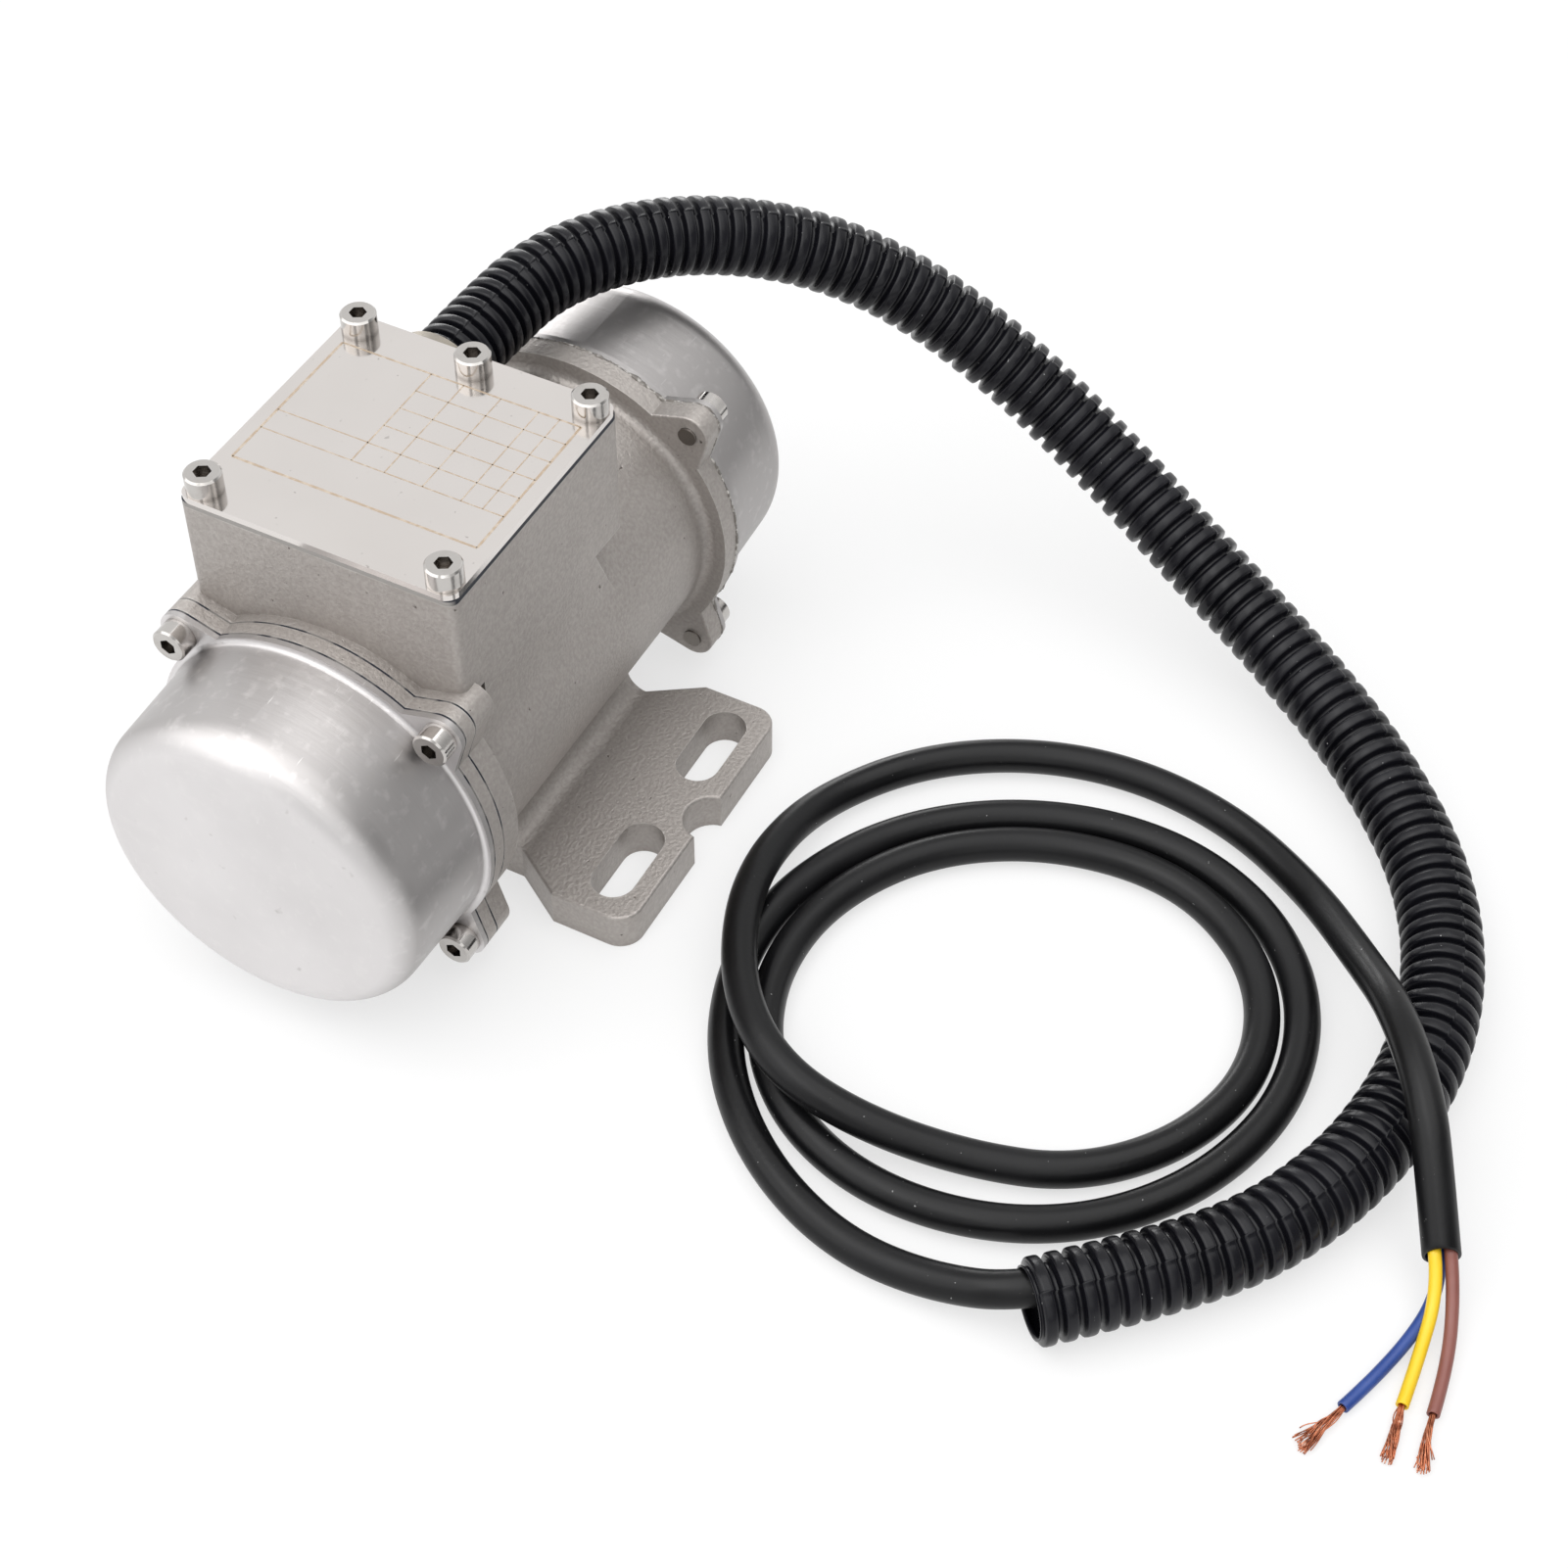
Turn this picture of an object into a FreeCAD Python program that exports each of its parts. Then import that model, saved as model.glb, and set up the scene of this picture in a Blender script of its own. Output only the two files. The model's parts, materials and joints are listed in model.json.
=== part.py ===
import FreeCAD, Part
import math
import os

# Vibration motor: a small single-phase motor in a cast stainless housing, with a pair of
# eccentric weights on each end of its shaft, closed by two drawn covers, and a terminal box
# with its conduit and supply cable.
#
# Lengths are in millimetres and angles in degrees. X runs along the shaft, Z is up, and the
# origin is on the mounting surface below the middle of the motor. The near end is at -X: it has
# the removable end shield. The far end is at +X: its end wall is part of the housing casting.

Vec = FreeCAD.Vector

# ---- Driving dimensions: housing barrel and its flanges ----
axis_height = 39.0           # shaft axis above the mounting surface
barrel_r = 31.5
barrel_wall = 3.0
housing_length = 91.0        # over both flange faces
end_wall = 3.3               # plate that the bearing seats against, at either end
flange_r = 36.0
flange_thickness = 4.8
flange_root_r = 2.0          # cast fillet between barrel and flange
bolt_circle_r = 39.5
ear_count = 4
ear_r = 4.4
ear_flank_angle = 11.7       # where an ear's straight flank leaves the flange circle
ear_boss_length = 1.2        # of the two upper near ears, beside the terminal box
cast_edge_r = 0.5            # of the castings' outer edges

# ---- Foot ----
foot_width = 107.0
foot_length = 63.5
foot_thickness = 8.5
foot_corner_r = 5.0
foot_edge_r = 0.6            # of the cast edges round its top
neck_length = 49.0           # of the foot under the barrel
neck_width = 50.0            # where the neck starts to widen
pad_side = 17.5              # of each pad's straight ends, in from the foot's edge
slot_width = 9.0
slot_length = 20.5
slot_spacing_x = 34.5
slot_edge = 8.5              # of the slots' middle lines from the foot's edges
notch_r = 5.7
notch_overhang = 1.0         # of the notch centre beyond the foot's edge
saddle_width = 43.0
saddle_fillet_r = 4.5

# ---- Terminal box ----
box_length = 57.5
box_width = 57.4
box_height = 26.7            # of the straight upper box
box_top_above_axis = 54.0
box_wall = 4.0
box_corner_r = 2.0
box_set_back = 2.0           # of the box from the near end face
box_floor = 3.5              # metal left above the stator bore
pedestal_set_in = 0.5        # of the pedestal's sides below the box
pedestal_barrel_in = 3.3     # of its sides from the barrel's widest line, where they run out
pedestal_lip = 10.4          # of the box's far end beyond the pedestal's top edge
pedestal_lean = 23.3         # angle by which its far end leans out on its way down
pedestal_fillet_r = 15.0     # where its sides run out onto the barrel
pedestal_core_width = 40.0   # of the narrower core that carries on under the box's far end
post_r = 4.0
lid_screw_inset = 3.7        # of the lid screws from the box's sides and ends
lid_thickness = 1.3
lid_corner_r = 2.5
lid_gasket_thickness = 1.0
lead_hole_r = 4.5
lead_hole_offset = 2.0       # of its middle beyond the stator core's near end
lead_hole_y = -1.0

# ---- End shield, gaskets and covers ----
shield_thickness = 2.9
gasket_thickness = 0.4
spigot_length = 4.0
spigot_wall = 3.0
cover_depth = 27.6
cover_base_r = 34.7
cover_tip_r = 34.1           # at the start of the rounded corner
cover_corner_r = 7.5
cover_sheet = 1.2
cover_root_r = 1.0           # where the drawn wall turns out into the rim

# ---- Screws (M4 socket heads) ----
screw_r = 2.0
screw_head_r = 3.5
screw_head_height = 4.0
screw_head_bevel = 0.35
hex_key = 3.0                # across the flats
hex_depth = 2.2
screw_tip_out = 0.5
lid_screw_length = 12.0
clearance_hole_r = 2.2
thread_gap = 0.03            # between a screw and the thread that it sits in
drill_run_out = 3.0          # of the near ears' holes beyond their bosses
driver_slit = 0.8            # width of the slits in the slotted screws
driver_slit_depth = 1.0

# ---- Bearings ----
bearing_bore_r = 6.0
bearing_outer_r = 16.0
bearing_width = 10.0
ball_r = 2.7
ball_count = 7
ball_turn = 0.25             # of the first ball from +Y, as a share of the balls' pitch
ball_gap = 0.3               # around each ball in its two grooves
ring_land_gap = 1.9          # from the balls' circle to either ring's land
cage_thickness = 1.2
cage_side = 1.0              # of cage left beside each ball
pocket_gap = 0.1
bearing_hub_wall = 4.0
seat_gap = 0.02              # of bearings, core and spigot in the parts that hold them

# ---- Shaft, rotor and stator ----
shaft_core_r = 7.0
shaft_tip = 2.8              # beyond the circlip
shaft_bevel = 0.8
shaft_hole_gap = 1.0         # around the shaft in the end plates
rotor_r = 15.1
rotor_length = 30.0
rotor_bars = 15
bar_width = 1.8
bar_depth = 4.2
bar_cover = 0.5              # of lamination over each bar
end_ring_r = 14.5
end_ring_length = 5.0
end_ring_lap = 1.0           # of the end rings inside the bars
air_gap = 0.4
stator_length = 30.0
stator_slots = 12
slot_mouth = 2.0
slot_tooth_tip = 1.8
stator_slot_width = 5.0
stator_slot_depth = 6.5
winding_gap = 0.2            # of the coil sides in their slots
end_turn_length = 10.5
end_turn_outer_r = 26.5
end_turn_inset = 0.8         # of the end turns' bore from the slots' inner ends

# ---- Eccentric weights ----
weight_r = 28.0
weight_thickness = 8.0
weight_flat = 2.0            # below the axis, where the half disc starts
weight_hub_r = 11.0
weight_first_gap = 1.7       # from the end plate to the fixed weight
weight_gap = 1.0             # from the fixed weight to the swing weight
swing_bore_gap = 0.05        # running clearance of the swing weight on the shaft
lug_half_width = 7.0
lug_height = 18.0
clamp_slit = 1.6
clamp_screw_z = 13.5
circlip_gap = 0.4
circlip_thickness = 1.0
circlip_outer_r = 8.6
groove_depth = 0.5
circlip_opening = 40.0       # angle of its gap

# ---- Terminal box contents ----
block_end = 1.5              # of the terminal block beyond its outer poles' pitch
block_width = 11.0
block_height = 13.0
block_wall_gap = 2.0         # to the near wall of the box
pole_pitch = 9.0
pole_count = 3
pole_well_r = 2.3
pole_screw_r = 2.0
pole_screw_drop = 3.0        # of its head below the block's top
wire_r = 0.9
wire_hole_r = 1.2
wire_pitch = 2.4             # between wires in the lead hole and in the fitting
wire_gap = 0.8               # from the outermost supply core to the capacitor
wire_lead = 8.0              # straight lead of each supply core at both its ends
winding_wire_rise = 4.0      # of the winding's wire entries above the box floor
supply_wire_rise = 8.0
capacitor_length = 28.0
capacitor_width = 13.0
capacitor_height = 17.0
capacitor_edge_r = 1.5
capacitor_wall_gap = 1.0
clip_width = 8.0
clip_thickness = 0.8
clip_foot = 5.0
earth_screw_r = 2.0
earth_boss_r = 4.0
earth_boss_height = 2.0
earth_hole_depth = 3.0
earth_head_r = 3.6
earth_head_height = 2.2

# ---- Conduit fitting, conduit and cable ----
fitting_drop = 10.5          # of its axis below the box's top
fitting_post_gap = 0.2       # from its lock nut's flat to the corner post
fitting_stub_r = 6.0
fitting_bore_r = 4.3
fitting_collar_r = 9.6
fitting_collar_length = 5.0
fitting_socket_depth = 3.6
nut_r = 7.8
nut_thickness = 3.0
stub_end = 1.0               # of thread beyond the nut
hose_r = 8.0
hose_bore_r = 5.9
hose_bore_depth = 17.0       # of the open mouth
hose_socket_gap = 0.1
hose_lead_out = 19.0         # of its first straight run
cable_r = 3.5
core_r = 1.2
core_gap = 0.3               # between neighbouring cores where they leave the cable
copper_r = 0.75
core_lead_out = 6.0          # of each core's straight start at the cable's cut end
strip_length = 11.5          # of bare copper on each core
arc_share = 0.45             # of the shorter run beside a corner that its arc takes

# Route of the conduit after it has left the fitting, down to the floor and round to its mouth.
hose_points = [
    (56.5, 10.5, 84.8), (78, -3, 83.3), (96, -22, 76.3), (107, -43, 65.4), (111.5, -67, 50),
    (109, -92, 35), (101, -117, 24), (90.5, -143, 15.5), (75, -168.5, 10), (52, -189.5, 8),
    (22.5, -200.5, 8), (-9, -200, 8), (-37.5, -189.3, 8), (-57.2, -171.8, 8), (-71.1, -156.5, 8),
]
# Route of the cable: out of the conduit's mouth, two and a half loose turns on the floor, over
# its own strands, and over the conduit to its cut end.
cable_points = [
    (-60.3, -166.3, 9.3), (-70.8, -154.8, 9.3), (-73, -138.4, 4.2), (-73, -121.8, 3.5), (-67, -105.3, 3.5),
    (-56.2, -90.8, 3.5), (-41.5, -79.8, 3.5), (-22, -73.6, 3.5), (-2, -75.2, 3.5), (18.3, -85.2, 3.5),
    (33.3, -102.4, 3.5), (41.3, -123.4, 3.5), (41.3, -144.5, 3.5), (32.2, -163.6, 3.5), (15.7, -176.4, 3.5),
    (-6, -180.6, 3.5), (-28, -174.8, 3.5), (-46, -161.5, 3.5), (-57, -143, 3.5), (-60, -121, 3.5),
    (-54, -101.7, 3.5), (-40.5, -87.5, 3.5), (-22, -81, 3.5), (-2, -82.7, 3.5), (17.1, -93.5, 3.5),
    (29.8, -111.3, 3.5), (34.7, -132, 3.5), (31.5, -150.2, 3.5), (18.1, -166.7, 3.5), (-3, -173.2, 3.5),
    (-23.7, -167.2, 3.5), (-39.6, -152.4, 3.5), (-46, -133, 3.7), (-50.5, -113, 8.2), (-49.5, -96, 12.2),
    (-38, -81.8, 12.2), (-20.2, -72.3, 12), (-0.7, -67.8, 8), (20, -69.6, 3.5), (39.3, -82.8, 3.5),
    (52, -102.2, 3.5), (57, -124.2, 3.5), (53.4, -147, 3.8), (41.1, -167.3, 6.3), (24.1, -182, 13.8),
    (7.7, -193.9, 22.8), (-9, -205, 23), (-19.5, -211.5, 15.5), (-28.5, -217.1, 8),
]
# Each core after it has left the cable's cut end, down to where its insulation is stripped.
core_points = {
    "core_blue": [(-48, -216.5, 1.6), (-61, -211.5, 1.3)],
    "core_yellow": [(-46.5, -220, 1.6), (-56, -220.5, 1.3)],
    "core_brown": [(-45, -225, 1.6), (-55.2, -225.8, 1.3)],
}

# ---- Places worked out from the dimensions ----
seat_x = (housing_length + gasket_thickness + shield_thickness) / 2    # seat of either cover
near_face_x = -seat_x + shield_thickness + gasket_thickness
far_face_x = seat_x
foot_x = (near_face_x + far_face_x) / 2
bore_r = barrel_r - barrel_wall
plate_x = seat_x - end_wall                      # inner face of either end plate
bearing_in_x = plate_x - bearing_width
hub_r = bearing_outer_r + bearing_hub_wall
shaft_hole_r = bearing_bore_r + shaft_hole_gap
ball_circle_r = (bearing_bore_r + bearing_outer_r) / 2
stator_bore_r = rotor_r + air_gap
ear_angles = [45 + 360 / ear_count * k for k in range(ear_count)]

box_near_x = near_face_x + box_set_back
box_far_x = box_near_x + box_length
box_mid_x = (box_near_x + box_far_x) / 2
box_top_z = axis_height + box_top_above_axis
box_bottom_z = box_top_z - box_height
floor_z = axis_height + bore_r + box_floor
lid_screw_places = [
    (box_mid_x + sx * (box_length / 2 - lid_screw_inset), sy * (box_width / 2 - lid_screw_inset))
    for sx, sy in [(-1, -1), (-1, 1), (1, -1), (1, 1), (1, 0)]
]
lid_bottom_z = box_top_z + lid_gasket_thickness
lead_hole_x = -stator_length / 2 - lead_hole_offset

weight_start_x = seat_x + weight_first_gap
swing_start_x = weight_start_x + weight_thickness + weight_gap
circlip_x = swing_start_x + weight_thickness + circlip_gap
shaft_end_x = circlip_x + circlip_thickness + shaft_tip

nut_flat = nut_r * math.cos(math.radians(30))
fitting_y = box_width / 2 - lid_screw_inset - post_r - fitting_post_gap - nut_flat
fitting_z = box_top_z - fitting_drop
fitting_inside_x = box_far_x - box_wall - nut_thickness - stub_end
hose_start_x = box_far_x + fitting_collar_length - fitting_socket_depth
hose_route = [
    (hose_start_x, fitting_y, fitting_z),
    (hose_start_x + hose_lead_out, fitting_y, fitting_z),
] + hose_points


# ---- Small helpers ----
def rod(x0, x1, r, y=0.0, z=axis_height):
    """A cylinder along X between two stations."""
    return Part.makeCylinder(r, x1 - x0, Vec(x0, y, z), Vec(1, 0, 0))


def ring(x0, x1, outer, inner):
    """A ring around the shaft axis."""
    return rod(x0, x1, outer).cut(rod(x0, x1, inner))


def block(x0, x1, y0, y1, z0, z1):
    return Part.makeBox(x1 - x0, y1 - y0, z1 - z0, Vec(x0, y0, z0))


def post(x, y, z0, z1, r):
    return Part.makeCylinder(r, z1 - z0, Vec(x, y, z0))


def prism(corners, direction):
    """A straight solid over a closed polygon."""
    points = [Vec(*c) for c in corners]
    return Part.Face(Part.makePolygon(points + points[:1])).extrude(Vec(*direction))


def revolved(profile):
    """A solid turned around the shaft axis from (station, radius) points."""
    corners = [Vec(x, 0, axis_height + r) for x, r in profile]
    face = Part.Face(Part.makePolygon(corners + corners[:1]))
    return face.revolve(Vec(0, 0, axis_height), Vec(1, 0, 0), 360)


def around_axis(shape, angle):
    """A copy turned about the shaft axis."""
    turned = shape.copy()
    turned.rotate(Vec(0, 0, axis_height), Vec(1, 0, 0), angle)
    return turned


def mirrored(shape):
    """A copy for the other end of the motor."""
    return shape.mirror(Vec(0, 0, 0), Vec(1, 0, 0))


def joined(shapes):
    """One solid from pieces that touch, without seams on its flat faces."""
    whole = shapes[0].multiFuse(shapes[1:])
    return whole.removeSplitter()


def upright_edges(shape, passes):
    """The straight vertical edges whose middle passes the test."""
    found = []
    for edge in shape.Edges:
        box = edge.BoundBox
        if box.XLength < 0.01 and box.YLength < 0.01 and passes(box.Center):
            found.append(edge)
    return found


def save(name, shapes):
    """Writes one node's STEP file."""
    solids = []
    for shape in shapes if isinstance(shapes, list) else [shapes]:
        solids.extend(shape.Solids)
    shape = solids[0] if len(solids) == 1 else Part.makeCompound(solids)
    shape.exportStep(os.path.join("parts", name + ".step"))


# ---- Screws ----
def cap_screw(length, shank_r):
    """A socket head screw standing on its head's seat at the origin, shank down."""
    head = Part.makeCylinder(screw_head_r, screw_head_height)
    rim = [edge for edge in head.Edges if abs(edge.BoundBox.ZMin - screw_head_height) < 0.001]
    head = head.makeChamfer(screw_head_bevel, [e for e in rim if e.BoundBox.ZLength < 0.001])
    corner_r = hex_key / 2 / math.cos(math.pi / 6)
    corners = [
        (corner_r * math.cos(math.pi / 3 * k), corner_r * math.sin(math.pi / 3 * k), screw_head_height)
        for k in range(6)
    ]
    head = head.cut(prism(corners, (0, 0, -hex_depth)))
    return head.fuse(Part.makeCylinder(shank_r, length, Vec(0, 0, -length))).removeSplitter()


def aimed(shape, place, direction):
    """Moves a piece made along +Z to a place, with +Z along the direction."""
    turned = shape.copy()
    turned.Placement = FreeCAD.Placement(Vec(*place), FreeCAD.Rotation(Vec(0, 0, 1), Vec(*direction)))
    return turned


def ear_place(x, angle):
    """The middle of one ear."""
    a = math.radians(angle)
    return (x, bolt_circle_r * math.cos(a), axis_height + bolt_circle_r * math.sin(a))


def ear_holes(x0, x1, r):
    return [
        Part.makeCylinder(r, x1 - x0, Vec(*ear_place(x0, angle)), Vec(1, 0, 0))
        for angle in ear_angles
    ]


# ---- Flanges with ears, shared by housing, shield, gaskets and covers ----
def eared_disc(x0, x1):
    """A round plate with four ears, whose straight flanks are tangent to the ears' ends."""
    a = math.radians(ear_flank_angle)
    root = (flange_r * math.cos(a), flange_r * math.sin(a))
    reach = math.hypot(bolt_circle_r - root[0], root[1])
    bearing = math.atan2(root[1], root[0] - bolt_circle_r) - math.acos(ear_r / reach)
    tip = (bolt_circle_r + ear_r * math.cos(bearing), ear_r * math.sin(bearing))
    flank = prism(
        [
            (x0, root[0], axis_height - root[1]), (x0, root[0], axis_height + root[1]),
            (x0, tip[0], axis_height + tip[1]), (x0, tip[0], axis_height - tip[1]),
        ],
        (x1 - x0, 0, 0),
    )
    end = rod(x0, x1, ear_r, bolt_circle_r)
    ears = [around_axis(piece, angle) for angle in ear_angles for piece in (flank, end)]
    return joined([rod(x0, x1, flange_r)] + ears)


def cast_eared_disc(x0, x1, rounded_x):
    """An eared plate of a casting, with the outer edge on one of its faces rounded."""
    plate = eared_disc(x0, x1)
    rim = [
        edge for edge in plate.Edges
        if edge.BoundBox.XLength < 0.01 and abs(edge.BoundBox.XMin - rounded_x) < 0.01
    ]
    return plate.makeFillet(cast_edge_r, rim)


def eared_ring(x0, x1, inner_r, hole_r):
    """An eared plate with its opening and the holes for the screws."""
    return eared_disc(x0, x1).cut([rod(x0, x1, inner_r)] + ear_holes(x0, x1, hole_r))


# ---- Housing casting ----
def barrel():
    """The turned outside of the casting, with the cast fillets at both flanges."""
    near_in = near_face_x + flange_thickness
    far_in = far_face_x - flange_thickness
    c = flange_root_r * (1 - math.sqrt(0.5))
    start = [
        Vec(near_face_x, 0, axis_height), Vec(near_face_x, 0, axis_height + flange_r),
        Vec(near_in, 0, axis_height + flange_r), Vec(near_in, 0, axis_height + barrel_r + flange_root_r),
    ]
    near_foot = Vec(near_in + flange_root_r, 0, axis_height + barrel_r)
    far_foot = Vec(far_in - flange_root_r, 0, axis_height + barrel_r)
    finish = [
        Vec(far_in, 0, axis_height + barrel_r + flange_root_r), Vec(far_in, 0, axis_height + flange_r),
        Vec(far_face_x, 0, axis_height + flange_r), Vec(far_face_x, 0, axis_height),
    ]
    edges = list(Part.makePolygon(start).Edges)
    edges.append(Part.Arc(start[-1], Vec(near_in + c, 0, axis_height + barrel_r + c), near_foot).toShape())
    edges.append(Part.makeLine(near_foot, far_foot))
    edges.append(Part.Arc(far_foot, Vec(far_in - c, 0, axis_height + barrel_r + c), finish[0]).toShape())
    edges.extend(Part.makePolygon(finish + start[:1]).Edges)
    return Part.Face(Part.Wire(edges)).revolve(Vec(0, 0, axis_height), Vec(1, 0, 0), 360)


def saddle():
    """The web between barrel and foot, with its long fillets onto the foot."""
    half = saddle_width / 2
    r = saddle_fillet_r
    x0 = foot_x - neck_length / 2
    top = axis_height
    c = r * (1 - math.sqrt(0.5))
    edges = []
    for side in (1, -1):
        wall = Vec(x0, side * half, foot_thickness + r)
        toe = Vec(x0, side * (half + r), foot_thickness)
        middle = Vec(x0, side * (half + c), foot_thickness + c)
        edges.append(Part.makeLine(Vec(x0, side * half, top), wall))
        edges.append(Part.Arc(wall, middle, toe).toShape())
        edges.append(Part.makeLine(toe, Vec(x0, side * (half + r), foot_thickness / 2)))
    low = foot_thickness / 2
    edges.append(Part.makeLine(Vec(x0, -half - r, low), Vec(x0, half + r, low)))
    edges.append(Part.makeLine(Vec(x0, -half, top), Vec(x0, half, top)))
    wire = Part.Wire(Part.__sortEdges__(edges))
    return Part.Face(wire).extrude(Vec(neck_length, 0, 0))


def foot():
    """The foot plate: two slotted pads joined by a narrower neck."""
    half_w = foot_width / 2
    half_l = foot_length / 2
    quarter = [(half_l, half_w), (half_l, half_w - pad_side), (neck_length / 2, neck_width / 2)]
    outline = list(quarter)
    outline += [(x, -y) for x, y in reversed(quarter)]
    outline += [(-x, -y) for x, y in quarter]
    outline += [(-x, y) for x, y in reversed(quarter)]
    plate = prism([(foot_x + x, y, 0) for x, y in outline], (0, 0, foot_thickness))
    outer = upright_edges(plate, lambda c: abs(c.y) > half_w - 0.01)
    plate = plate.makeFillet(foot_corner_r, outer)
    cutters = [post(foot_x, side * (half_w + notch_overhang), 0, foot_thickness, notch_r) for side in (1, -1)]
    plate = plate.cut(cutters)
    top = [edge for edge in plate.Edges if edge.BoundBox.ZMin > foot_thickness - 0.01]
    return plate.makeFillet(foot_edge_r, top).cut(foot_slots())


def foot_slots():
    """The four fixing slots, long way along X."""
    straight = (slot_length - slot_width) / 2
    r = slot_width / 2
    slots = []
    for sx in (1, -1):
        for sy in (1, -1):
            x = foot_x + sx * slot_spacing_x / 2
            y = sy * (foot_width / 2 - slot_edge)
            middle = block(x - straight, x + straight, y - r, y + r, 0, foot_thickness)
            ends = [post(x + s * straight, y, 0, foot_thickness, r) for s in (1, -1)]
            slots.append(middle.multiFuse(ends))
    return slots


def rounded_box(x0, x1, y0, y1, z0, z1, r):
    """A box with rounded upright edges."""
    plain = block(x0, x1, y0, y1, z0, z1)
    return plain.makeFillet(r, upright_edges(plain, lambda c: True))


def pedestal_section():
    """The pedestal's face across the shaft: upright sides that run out onto the barrel in an arc."""
    top_half = box_width / 2 - pedestal_set_in
    foot_half = barrel_r - pedestal_barrel_in
    centre_y = foot_half + pedestal_fillet_r
    centre_z = math.sqrt((barrel_r + pedestal_fillet_r) ** 2 - centre_y**2)
    share = barrel_r / (barrel_r + pedestal_fillet_r)
    turn = math.atan2(centre_z, centre_y) / 2
    x = box_near_x
    edges = [Part.makeLine(Vec(x, -top_half, box_bottom_z), Vec(x, top_half, box_bottom_z))]
    for side in (1, -1):
        top = Vec(x, side * top_half, box_bottom_z)
        start = Vec(x, side * foot_half, axis_height + centre_z)
        middle = Vec(
            x, side * (centre_y - pedestal_fillet_r * math.cos(turn)),
            axis_height + centre_z - pedestal_fillet_r * math.sin(turn),
        )
        end = Vec(x, side * centre_y * share, axis_height + centre_z * share)
        edges.append(Part.makeLine(top, start))
        edges.append(Part.Arc(start, middle, end).toShape())
        edges.append(Part.makeLine(end, Vec(x, 0, axis_height)))
    return Part.Face(Part.Wire(Part.__sortEdges__(edges)))


def terminal_box_outside():
    """The box, and the pedestal that carries it down onto the barrel."""
    upper = rounded_box(
        box_near_x, box_far_x, -box_width / 2, box_width / 2, box_bottom_z, box_top_z, box_corner_r
    )
    top_x = box_far_x - pedestal_lip
    deep_x = top_x + (box_bottom_z - axis_height) * math.tan(math.radians(pedestal_lean))
    reach = barrel_r + box_width / 2
    leaning = prism(
        [
            (box_near_x, -reach, box_bottom_z), (top_x, -reach, box_bottom_z),
            (deep_x, -reach, axis_height), (box_near_x, -reach, axis_height),
        ],
        (0, 2 * reach, 0),
    )
    pedestal = pedestal_section().extrude(Vec(deep_x - box_near_x, 0, 0)).common(leaning)
    core_half = pedestal_core_width / 2
    core = block(box_near_x, box_far_x, -core_half, core_half, axis_height, box_bottom_z)
    return [upper, pedestal, core]


def terminal_box_inside():
    """The box's cavity with its screw posts left standing."""
    cavity = block(
        box_near_x + box_wall, box_far_x - box_wall,
        -box_width / 2 + box_wall, box_width / 2 - box_wall, floor_z, box_top_z,
    )
    return cavity.cut([post(x, y, floor_z, box_top_z, post_r) for x, y in lid_screw_places])


def housing():
    outside = [barrel(), saddle(), foot()] + terminal_box_outside()
    near_back = near_face_x + flange_thickness
    far_back = far_face_x - flange_thickness
    outside.append(cast_eared_disc(near_face_x, near_back, near_back))
    outside.append(cast_eared_disc(far_back, far_face_x, far_back))
    for angle in ear_angles:
        if math.sin(math.radians(angle)) > 0:
            x0 = near_face_x
            y = bolt_circle_r * math.cos(math.radians(angle))
            z = axis_height + bolt_circle_r * math.sin(math.radians(angle))
            outside.append(rod(x0, x0 + flange_thickness + ear_boss_length, ear_r, y, z))
    body = joined(outside)
    hub = ring(bearing_in_x, plate_x, hub_r, bearing_outer_r + seat_gap)
    bore = rod(near_face_x, plate_x, bore_r).cut(hub)
    cutters = [bore, terminal_box_inside(), rod(plate_x, far_face_x, shaft_hole_r)]
    near_hole_end = near_face_x + flange_thickness + ear_boss_length + drill_run_out
    cutters += ear_holes(near_face_x, near_hole_end, screw_r)
    cutters += ear_holes(far_face_x - flange_thickness, far_face_x, screw_r)
    cutters += [post(x, y, box_top_z - lid_screw_length, box_top_z, screw_r) for x, y in lid_screw_places]
    cutters.append(post(lead_hole_x, lead_hole_y, axis_height, floor_z, lead_hole_r))
    cutters.append(rod(box_far_x - box_wall, box_far_x, fitting_stub_r + thread_gap, fitting_y, fitting_z))
    body = body.cut(cutters)
    earth_top = floor_z + earth_boss_height
    earth = post(*earth_place(), floor_z, earth_top, earth_boss_r)
    earth_hole = post(*earth_place(), earth_top - earth_hole_depth, earth_top, earth_screw_r)
    return body.fuse(earth).cut(earth_hole).removeSplitter()


# ---- End shield and covers ----
def end_shield():
    """The near end plate with its ears, spigot and bearing hub."""
    plate = eared_disc(-seat_x, -seat_x + shield_thickness)
    spigot_r = bore_r - seat_gap
    disc = rod(-seat_x, -plate_x, spigot_r)
    spigot = ring(-plate_x, near_face_x + spigot_length, spigot_r, spigot_r - spigot_wall)
    hub = ring(-plate_x, -bearing_in_x, hub_r, bearing_outer_r + seat_gap)
    body = joined([plate, disc, spigot, hub])
    holes = ear_holes(-seat_x, -seat_x + shield_thickness, clearance_hole_r)
    return body.cut([rod(-seat_x, -plate_x, shaft_hole_r)] + holes)


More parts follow.
